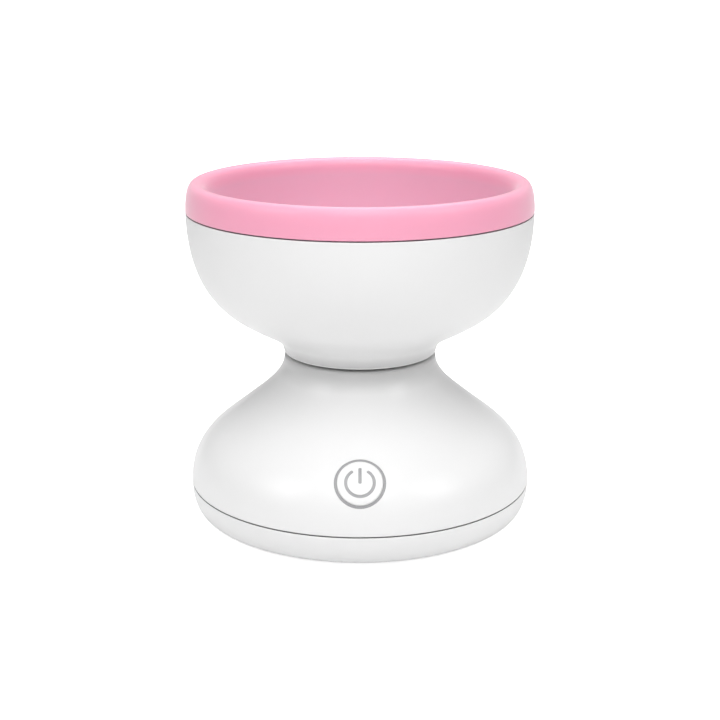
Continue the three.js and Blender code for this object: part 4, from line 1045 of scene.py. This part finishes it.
class CLEANER_OT_bowl(bpy.types.Operator):
    """White shell of the spinning bowl"""

    bl_idname = "cleaner.bowl"
    bl_label = "Bowl shell"

    def execute(self, context):
        sizes = context.scene.cleaner_sizes
        edge = sizes.edge_round / MM
        curve, foot = bowl_curve(sizes.curve_steps)
        seam = RIM_SEAM - SEAM / 2
        under = BOWL_FLOOR - WALL
        outer = [p for p in beside(curve, 0) if BOWL_FOOT + 2 < p[1] < RIM_SEAM - 0.7]
        foot_inside = [p for p in beside(foot, WALL) if BOWL_FOOT + 1 < p[1] < under - 0.4]
        inside = beside(inside_curve(sizes.curve_steps), 0)
        outline = [
            (23.92 - WALL, BOWL_FOOT, 0.3),
            (23.92, BOWL_FOOT, 0.85),
            *reversed(outer),
            (BOWL_RADIUS, seam, edge),
            (RIM_OUTER, seam, 0.1),
            (RIM_OUTER, BOWL_RIM, 0.4),
            (RIM_INNER, BOWL_RIM, 0.4),
            *inside,
            (5.2, BOWL_FLOOR, 0.2),
            (5.2, under, 0.2),
            (31.59, under),
            *foot_inside,
        ]
        shell = turned("bowl_white", rounded(outline), sizes.segments)
        cuts = []
        for k in range(1, 4):
            spot = middle(f"hub_screw_{k}")
            seat = high(f"hub_screw_{k}", 2) - 1.15
            cuts.append(shifted(rod("cut", 2.6, seat, BOWL_FLOOR + 1), (spot.x, spot.y, 0)))
            cuts.append(shifted(rod("cut", 1.36, under - 1, BOWL_FLOOR), (spot.x, spot.y, 0)))
        carve(shell, "DIFFERENCE", *cuts)
        finished(shell, "bowl", FINISHES["bowl"], "bowl_shell")
        return {"FINISHED"}


LINER_WALL = 2.3
LINER_FLOOR = BOWL_FLOOR + 0.3 + LINER_WALL


class CLEANER_OT_liner(bpy.types.Operator):
    """Silicone liner with its cuff over the rim, and the scrubbing nubs and ribs inside it"""

    bl_idname = "cleaner.liner"
    bl_label = "Silicone liner"

    def execute(self, context):
        sizes = context.scene.cleaner_sizes
        steps = sizes.curve_steps
        crest = BOWL_RADIUS - 3.15
        wall = RIM_INNER - 0.3 - LINER_WALL
        groove = BOWL_RIM + 0.3
        seam = RIM_SEAM + SEAM / 2
        cuff = bezier((BOWL_RADIUS, seam), (BOWL_RADIUS, RIM_SEAM + 5.8), (crest + 2.2, LIP), (crest, LIP), steps)
        inner = bezier((crest, LIP), (crest - 1.6, LIP), (wall, LIP - 1.1), (wall, LIP - 3.7), steps // 2)
        outline = [
            (0, BOWL_FLOOR + 0.3),
            *reversed(beside(inside_curve(steps), 0.3)),
            (RIM_INNER - 0.3, groove, 0.3),
            (RIM_OUTER + 0.3, groove, 0.3),
            (RIM_OUTER + 0.3, seam, 0.25),
            (BOWL_RADIUS, seam, 0.3),
            *[p for p in beside(cuff, 0) if p[1] > seam + 0.6],
            *beside(inner, 0)[1:],
            *beside(inside_curve(steps), 0.3 + LINER_WALL),
            (0, LINER_FLOOR),
        ]
        liner = turned("liner", rounded(outline), sizes.segments)
        finished(liner, "liner", FINISHES["silicone"], "silicone_liner")
        self.nubs(sizes)
        self.ribs(sizes)
        return {"FINISHED"}

    def nubs(self, sizes):
        reach = 20.5
        spacing = reach / math.sqrt(sizes.nub_count)
        nubs = grown(
            "liner_nubs",
            sunflower_tree(),
            Count=sizes.nub_count,
            Spacing=spacing * MM,
            Radius=sizes.nub_radius,
            Height=LINER_FLOOR * MM,
            Material=FINISHES["silicone"],
        )
        finished(nubs, "liner", FINISHES["silicone"])

    def ribs(self, sizes):
        wall = beside(inside_curve(48), 0.3 + LINER_WALL)
        path = [p for p in wall if 24.5 < p[0] < 42.5]
        rib = self.rib_mesh(path)
        ribs = grown(
            "liner_ribs", round_axis_tree(), Template=rib, Count=sizes.rib_count, Material=FINISHES["silicone"]
        )
        bpy.data.meshes.remove(rib.data)
        finished(ribs, "liner", FINISHES["silicone"])

    def rib_mesh(self, path, half_width=0.75, height=1.0, sink=0.3, across=6):
        """One rib along the wall's inner side, which swells and fades at its ends."""
        points, faces = [], []
        last = len(path) - 1
        for i, (radius, z) in enumerate(path):
            before, after = Vector(path[max(i - 1, 0)]), Vector(path[min(i + 1, last)])
            way = (after - before).normalized()
            out = Vector((way.y, -way.x))
            swell = math.sin(math.pi * (0.04 + 0.92 * i / last)) ** 0.5
            for k in range(across + 1):
                turn = math.pi * k / across
                lift = height * swell * math.sin(turn)
                points.append((radius + out.x * lift, half_width * swell * math.cos(turn), z + out.y * lift))
            for side in (-1, 1):
                points.append((radius - out.x * sink, side * half_width * swell, z - out.y * sink))
        ring = across + 3
        for i in range(last):
            for k in range(ring):
                n = (k + 1) % ring
                faces.append((i * ring + k, i * ring + n, (i + 1) * ring + n, (i + 1) * ring + k))
        faces += [tuple(range(ring)), tuple(range(last * ring, last * ring + ring))]
        return mesh_from("rib", points, faces)


CAP_RADIUS = 6.76
RING_RADII = (6.8, 7.56)
SLEEVE_RADIUS = 7.6
MARK = {"arc": 4.15, "stroke": 0.85, "lift": -0.15, "gap": math.radians(36), "bar": (-0.48, 4.5)}


def mark_distance(x, y):
    """Distance to the power mark's outline in the cap's plane; negative inside the strokes."""
    half = MARK["stroke"] / 2
    up = y - MARK["lift"]
    turn = np.arctan2(np.abs(x), up)
    arc = np.abs(np.hypot(x, up) - MARK["arc"]) - half
    end_x, end_y = MARK["arc"] * math.sin(MARK["gap"]), MARK["arc"] * math.cos(MARK["gap"])
    tip = np.hypot(np.abs(x) - end_x, up - end_y) - half
    arc = np.where(turn > MARK["gap"], arc, tip)
    low_end, high_end = MARK["bar"][0] + half * 0.6, MARK["bar"][1] - half * 0.6
    along = np.clip(y, low_end, high_end)
    bar = np.hypot(x, (y - along) / 0.6) - half
    return np.minimum(arc, bar)


class CLEANER_OT_button(bpy.types.Operator):
    """Power button cap with its engraved mark, and the grey ring round it"""

    bl_idname = "cleaner.button"
    bl_label = "Power button"

    def execute(self, context):
        sizes = context.scene.cleaner_sizes
        self.cap(sizes)
        self.ring()
        return {"FINISHED"}

    def cap(self, sizes):
        proud, edge, deep = 0.45, 0.4, sizes.mark_depth / MM
        corners = cad_local("power_button")
        reach = np.hypot(corners[:, 0], corners[:, 1])
        flange = corners[reach > CAP_RADIUS + 0.5]
        front, back = float(flange[:, 2].max()), float(flange[:, 2].min())
        stem = float(corners[:, 2].min())

        def top(x, y):
            height = belly_height(x, y, proud)
            out = np.clip(np.hypot(x, y) - (CAP_RADIUS - edge), 0, edge)
            height -= edge - np.sqrt(np.clip(edge**2 - out**2, 0, None))
            sunk = np.clip(0.5 - mark_distance(x, y) / 0.14, 0, 1)
            return height - deep * sunk * sunk * (3 - 2 * sunk)

        flat = np.linspace(0.02, CAP_RADIUS - edge, 84)
        rim = CAP_RADIUS - edge + edge * np.sin(np.linspace(0.2, math.pi / 2, 7))
        walls = [
            (CAP_RADIUS, front),
            (CAP_RADIUS + 1, front),
            (CAP_RADIUS + 1, back),
            (CAP_RADIUS - 1.4, back),
            (CAP_RADIUS - 1.4, -2.6),
            (1.5, -2.6),
            (1.5, stem),
            (0.02, stem),
        ]
        cap = polar_solid("button_cap", np.concatenate((flat, rim)), top, walls, 320)
        local = cap.data.copy()
        local.transform(Matrix.Diagonal((1 / MM,) * 3 + (1,)))
        local.transform(BUTTON.inverted())
        flat_corners = np.empty(len(local.vertices) * 3)
        local.vertices.foreach_get("co", flat_corners)
        x, y, z = flat_corners.reshape(-1, 3).T
        inked = np.clip(0.75 - mark_distance(x, y) / 0.09, 0, 1) * (z > -2.4)
        bpy.data.meshes.remove(local)
        layer = cap.data.attributes.new("mark", "FLOAT", "POINT")
        layer.data.foreach_set("value", inked.astype(np.float32))
        finished(cap, "button", FINISHES["cap"], "power_button", angle=50)

    def ring(self):
        (inner, outer), edge = RING_RADII, 0.08
        corners = cad_local("button_ring")
        reach = np.hypot(corners[:, 0], corners[:, 1])
        flange = corners[reach > outer + 0.5]
        front, back = float(flange[:, 2].max()), float(flange[:, 2].min())

        def top(x, y):
            centre = (inner + outer) / 2
            out = np.clip(np.abs(np.hypot(x, y) - centre) - ((outer - inner) / 2 - edge), 0, edge)
            return belly_height(x, y, 0.0) - edge + np.sqrt(np.clip(edge**2 - out**2, 0, None))

        bend = edge * (1 - np.cos(np.linspace(0, math.pi / 2, 5)))
        radii = np.concatenate((inner + bend, [(inner + outer) / 2], outer - bend[::-1]))
        walls = [(outer, front), (8.8, front), (8.8, back), (inner, back)]
        ring = polar_solid("button_bezel", radii, top, walls, 256)
        finished(ring, "base", FINISHES["ring"], "button_ring", angle=50)


def screw_template(shank, length, head, high_):
    """Pan-head screw with a cross recess and rolled thread rings; its head stands on z = 0."""
    outline = [(0, -length), (shank * 0.4, -length)]
    pitch = 0.5
    rings = int((length - 1) / pitch)
    for k in range(rings):
        z = -length + 0.5 + k * pitch
        outline += [(shank * 0.8, z), (shank, z + pitch / 2)]
    outline += [(shank, -0.3), (shank, 0)]
    crown = [(head * math.cos(a), high_ * (0.35 + 0.65 * math.sin(a))) for a in (0.0, 0.3, 0.6, 0.9, 1.2)]
    outline += [(head * 0.97, 0), *crown, (0, high_)]
    screw = turned("screw", outline, 40)
    for turn in (0, math.pi / 2):
        blade = slab("blade", head * 1.05, head * 0.24, high_ * 0.4, high_ + 1)
        carve(screw, "DIFFERENCE", moved(blade, Matrix.Rotation(turn, 4, "Z")))
    return screw


SCREWS = {
    "cover_screw": {"count": 4, "body": "base", "shank": 1.2, "length": 11, "head": 2.6, "high": 1.9, "down": True},
    "plate_screw": {"count": 3, "body": "base", "shank": 1.1, "length": 8, "head": 2.4, "high": 1.6, "down": True},
    "motor_screw": {"count": 2, "body": "base", "shank": 1.0, "length": 3.6, "head": 1.9, "high": 1.2, "down": False},
    "board_screw": {"count": 2, "body": "base", "shank": 1.0, "length": 7, "head": 2.0, "high": 1.3, "down": False},
    "hub_screw": {"count": 3, "body": "bowl", "shank": 1.0, "length": 3, "head": 2.3, "high": 1.1, "down": False},
    "bowl_screw": {"count": 1, "body": "bowl", "shank": 1.2, "length": 9, "head": 2.7, "high": 1.3, "down": False},
}


class CLEANER_OT_fasteners(bpy.types.Operator):
    """Screws and rubber feet, each kind as copies of one template"""

    bl_idname = "cleaner.fasteners"
    bl_label = "Screws and feet"

    def execute(self, context):
        for kind, s in SCREWS.items():
            nodes = [f"{kind}_{k + 1}" for k in range(s["count"])] if s["count"] > 1 else [kind]
            template = screw_template(s["shank"], s["length"], s["head"], s["high"])
            places = []
            for node in nodes:
                spot = middle(node)
                seat = low(node, 2) + s["high"] if s["down"] else high(node, 2) - s["high"]
                places.append((spot.x, spot.y, seat))
            turn = (math.pi if s["down"] else 0, 0, 0.35)
            made = copies(f"fine_{kind}s", template, places, FINISHES["steel"], turn)
            finished(made, s["body"], FINISHES["steel"], *nodes)
        self.feet()
        return {"FINISHED"}

    def feet(self):
        nodes = [f"rubber_foot_{k}" for k in range(1, 5)]
        top = high(nodes[0], 2)
        outline = [(0, 0.25), (3.2, 0.25), (3.5, 0), (5, 0, 0.6), (5, top, 0.1), (0, top)]
        template = turned("foot", rounded(outline), 64)
        places = [(middle(n).x, middle(n).y, 0) for n in nodes]
        made = copies("rubber_feet", template, places, FINISHES["rubber"])
        finished(made, "base", FINISHES["rubber"], *nodes)


class CLEANER_OT_socket(bpy.types.Operator):
    """Charging socket: drawn metal shell and contact tongue"""

    bl_idname = "cleaner.socket"
    bl_label = "Charging socket"

    def execute(self, context):
        spot, face = middle("charging_socket"), high("charging_socket", 1)
        width, tall, deep = 8.94, 3.26, 7.35
        upright = Matrix.Translation((0, face, spot.z)) @ Matrix.Rotation(-math.pi / 2, 4, "X")
        shell = stadium("socket_shell", width, tall, -deep, 0, 0.12)
        carve(shell, "DIFFERENCE", stadium("mouth", width - 0.6, tall - 0.6, -deep + 1, 1))
        tongue = stadium("tongue", 6.6, 0.7, -deep + 0.9, -1.2, 0.1)
        finished(moved(shell, upright), "base", FINISHES["steel"], "charging_socket")
        finished(moved(tongue, upright), "base", FINISHES["nylon"])
        return {"FINISHED"}


CAD_FINISHES = {
    "steel": ["bowl_washer", "bowl_shaft", "shaft_clip", "idler_pin", "gear_plate", "motor_can"]
    + ["motor_rotor", "switch_screw_1", "switch_screw_2"],
    "bronze": ["upper_bush", "lower_bush", "thrust_washer", "motor_pinion"],
    "acetal": ["bowl_gear", "idler_gear"],
    "nylon": ["drive_hub", "motor_end_cap", "switch_body", "control_chip", "battery_strap"],
    "ferrite": ["motor_magnet_1", "motor_magnet_2"],
    "rubber": ["shaft_seal", "switch_plunger"],
    "board": ["switch_board", "main_board"],
    "cell": ["battery_cell"],
    "lens": ["status_led"],
    "red": ["battery_lead_red", "motor_lead_red"],
    "black": ["battery_lead_black", "motor_lead_black"],
    "grey": ["switch_lead"],
}


class CLEANER_OT_inner(bpy.types.Operator):
    """Finishes of the inner parts, which keep their own shapes"""

    bl_idname = "cleaner.inner"
    bl_label = "Inner parts"

    def execute(self, context):
        for finish, nodes in CAD_FINISHES.items():
            for node in nodes:
                piece = frame["nodes"][node]
                for place in piece.material_slots:
                    place.material = FINISHES[finish]
        return {"FINISHED"}


# ------------------------------------------------------------------ stage


# name, place in metres, size in metres, power in watts
SOFTBOXES = (
    ("key_light", (0.0, -0.7, 1.12), 0.85, 6.4),
    ("back_light", (0.05, 0.45, 1.1), 0.8, 5.4),
    ("low_light", (0.1, -1.3, 0.15), 0.9, 0.5),
    ("left_light", (-1.0, -0.6, 0.9), 0.6, 3.3),
    ("right_light", (1.0, -0.6, 0.9), 0.6, 3.3),
)
LENS = 69.8
CAMERA_PLACE = (0, -427.5 * MM, 171.1 * MM)
CAMERA_TILT = 16  # degrees below level
FLOOR_SIDE = 12.0
FLOOR_DROP = 0.02 * MM
FLOOR_SIDES = (0.55, 0.55, 0.55)  # colour of the floor far out to the left and right
FLOOR_GLOW = 0.8
ROOM = 0.29
ROOM_OVERHEAD = 0.6
ROOM_ASIDE = 0.26


class CLEANER_OT_stage(bpy.types.Operator):
    """Pale floor, soft studio light and camera"""

    bl_idname = "cleaner.stage"
    bl_label = "Stage"

    def execute(self, context):
        self.camera(context)
        self.floor(context)
        self.world(context)
        for box in SOFTBOXES:
            self.softbox(*box)
        context.scene.view_settings.view_transform = "Standard"
        context.scene.view_settings.look = "None"
        return {"FINISHED"}

    def camera(self, context):
        data = bpy.data.cameras.new("camera")
        data.lens, data.sensor_width = LENS, 36
        data.clip_start, data.clip_end = 0.01, 100
        camera = bpy.data.objects.new("camera", data)
        camera.location = CAMERA_PLACE
        camera.rotation_euler = (math.radians(90 - CAMERA_TILT), 0, 0)
        context.scene.collection.objects.link(camera)
        context.scene.camera = camera

    def floor(self, context):
        corners = ((-1, -1), (1, -1), (1, 1), (-1, 1))
        mesh = bpy.data.meshes.new("floor")
        mesh.from_pydata([(x * FLOOR_SIDE, y * FLOOR_SIDE, -FLOOR_DROP) for x, y in corners], [], [(0, 1, 2, 3)])
        floor = new_object("floor", mesh)
        colour = tuple(context.scene.cleaner_colours.floor)
        made, tree, surface = new_material("pale floor", colour, Roughness=0.6)
        surface.inputs["Emission Color"].default_value = (1, 1, 1, 1)
        seen = tree.nodes.new("ShaderNodeLightPath")
        glow = math_node(tree, "MULTIPLY", seen.outputs["Is Camera Ray"], FLOOR_GLOW)
        tree.links.new(glow, surface.inputs["Emission Strength"])
        place = tree.nodes.new("ShaderNodeTexCoord")
        split = tree.nodes.new("ShaderNodeSeparateXYZ")
        tree.links.new(place.outputs["Object"], split.inputs[0])
        off = math_node(tree, "MULTIPLY", math_node(tree, "ABSOLUTE", split.outputs["X"]), 3.0)
        far = math_node(tree, "MINIMUM", math_node(tree, "MAXIMUM", math_node(tree, "SUBTRACT", off, 0.3), 0.0), 1.0)
        tinted(tree, surface, far, 1.0, colour, FLOOR_SIDES)
        floor.data.materials.append(made)

    def world(self, context):
        world = bpy.data.worlds.new("studio")
        world.use_nodes = True
        tree = world.node_tree
        back = tree.nodes["Background"]
        back.inputs["Color"].default_value = (1, 1, 1, 1)
        seen = tree.nodes.new("ShaderNodeLightPath")
        way = tree.nodes.new("ShaderNodeTexCoord")
        split = tree.nodes.new("ShaderNodeSeparateXYZ")
        tree.links.new(way.outputs["Generated"], split.inputs[0])
        overhead = math_node(tree, "MULTIPLY", math_node(tree, "MAXIMUM", split.outputs["Z"], 0.0), ROOM_OVERHEAD)
        aside = math_node(tree, "MULTIPLY", math_node(tree, "ABSOLUTE", split.outputs["X"]), ROOM_ASIDE)
        room = math_node(tree, "ADD", math_node(tree, "SUBTRACT", overhead, aside), ROOM)
        tree.links.new(math_node(tree, "MAXIMUM", room, seen.outputs["Is Camera Ray"]), back.inputs["Strength"])
        context.scene.world = world

    def softbox(self, name, place, size, power):
        data = bpy.data.lights.new(name, "AREA")
        data.shape, data.size, data.energy = "SQUARE", size, power
        light = bpy.data.objects.new(name, data)
        light.location = place
        aim = Vector((0, 0, 0.05)) - Vector(place)
        light.rotation_euler = aim.to_track_quat("-Z", "Y").to_euler()
        bpy.context.scene.collection.objects.link(light)


# ------------------------------------------------------------------ add-on

STEPS = (
    CLEANER_OT_stage,
    CLEANER_OT_base,
    CLEANER_OT_bowl,
    CLEANER_OT_liner,
    CLEANER_OT_button,
    CLEANER_OT_fasteners,
    CLEANER_OT_socket,
    CLEANER_OT_inner,
)


class CLEANER_PT_panel(bpy.types.Panel):
    """Steps that build the cleaner, in order"""

    bl_idname = "CLEANER_PT_panel"
    bl_label = "Brush cleaner"
    bl_space_type = "VIEW_3D"
    bl_region_type = "UI"
    bl_category = "Cleaner"

    def draw(self, context):
        for group in (context.scene.cleaner_sizes, context.scene.cleaner_colours):
            for name in group.__annotations__:
                self.layout.prop(group, name)
        for step in STEPS:
            self.layout.operator(step.bl_idname)


CLASSES = (CleanerSizes, CleanerColours, *STEPS, CLEANER_PT_panel)


def register():
    for made in CLASSES:
        bpy.utils.register_class(made)
    bpy.types.Scene.cleaner_sizes = PointerProperty(type=CleanerSizes)
    bpy.types.Scene.cleaner_colours = PointerProperty(type=CleanerColours)


def unregister():
    del bpy.types.Scene.cleaner_colours
    del bpy.types.Scene.cleaner_sizes
    for made in reversed(CLASSES):
        bpy.utils.unregister_class(made)


def main():
    register()
    make_finishes(bpy.context.scene.cleaner_colours)
    for step in STEPS:
        area, name = step.bl_idname.split(".")
        getattr(getattr(bpy.ops, area), name)()


if __name__ == "__main__":
    main()
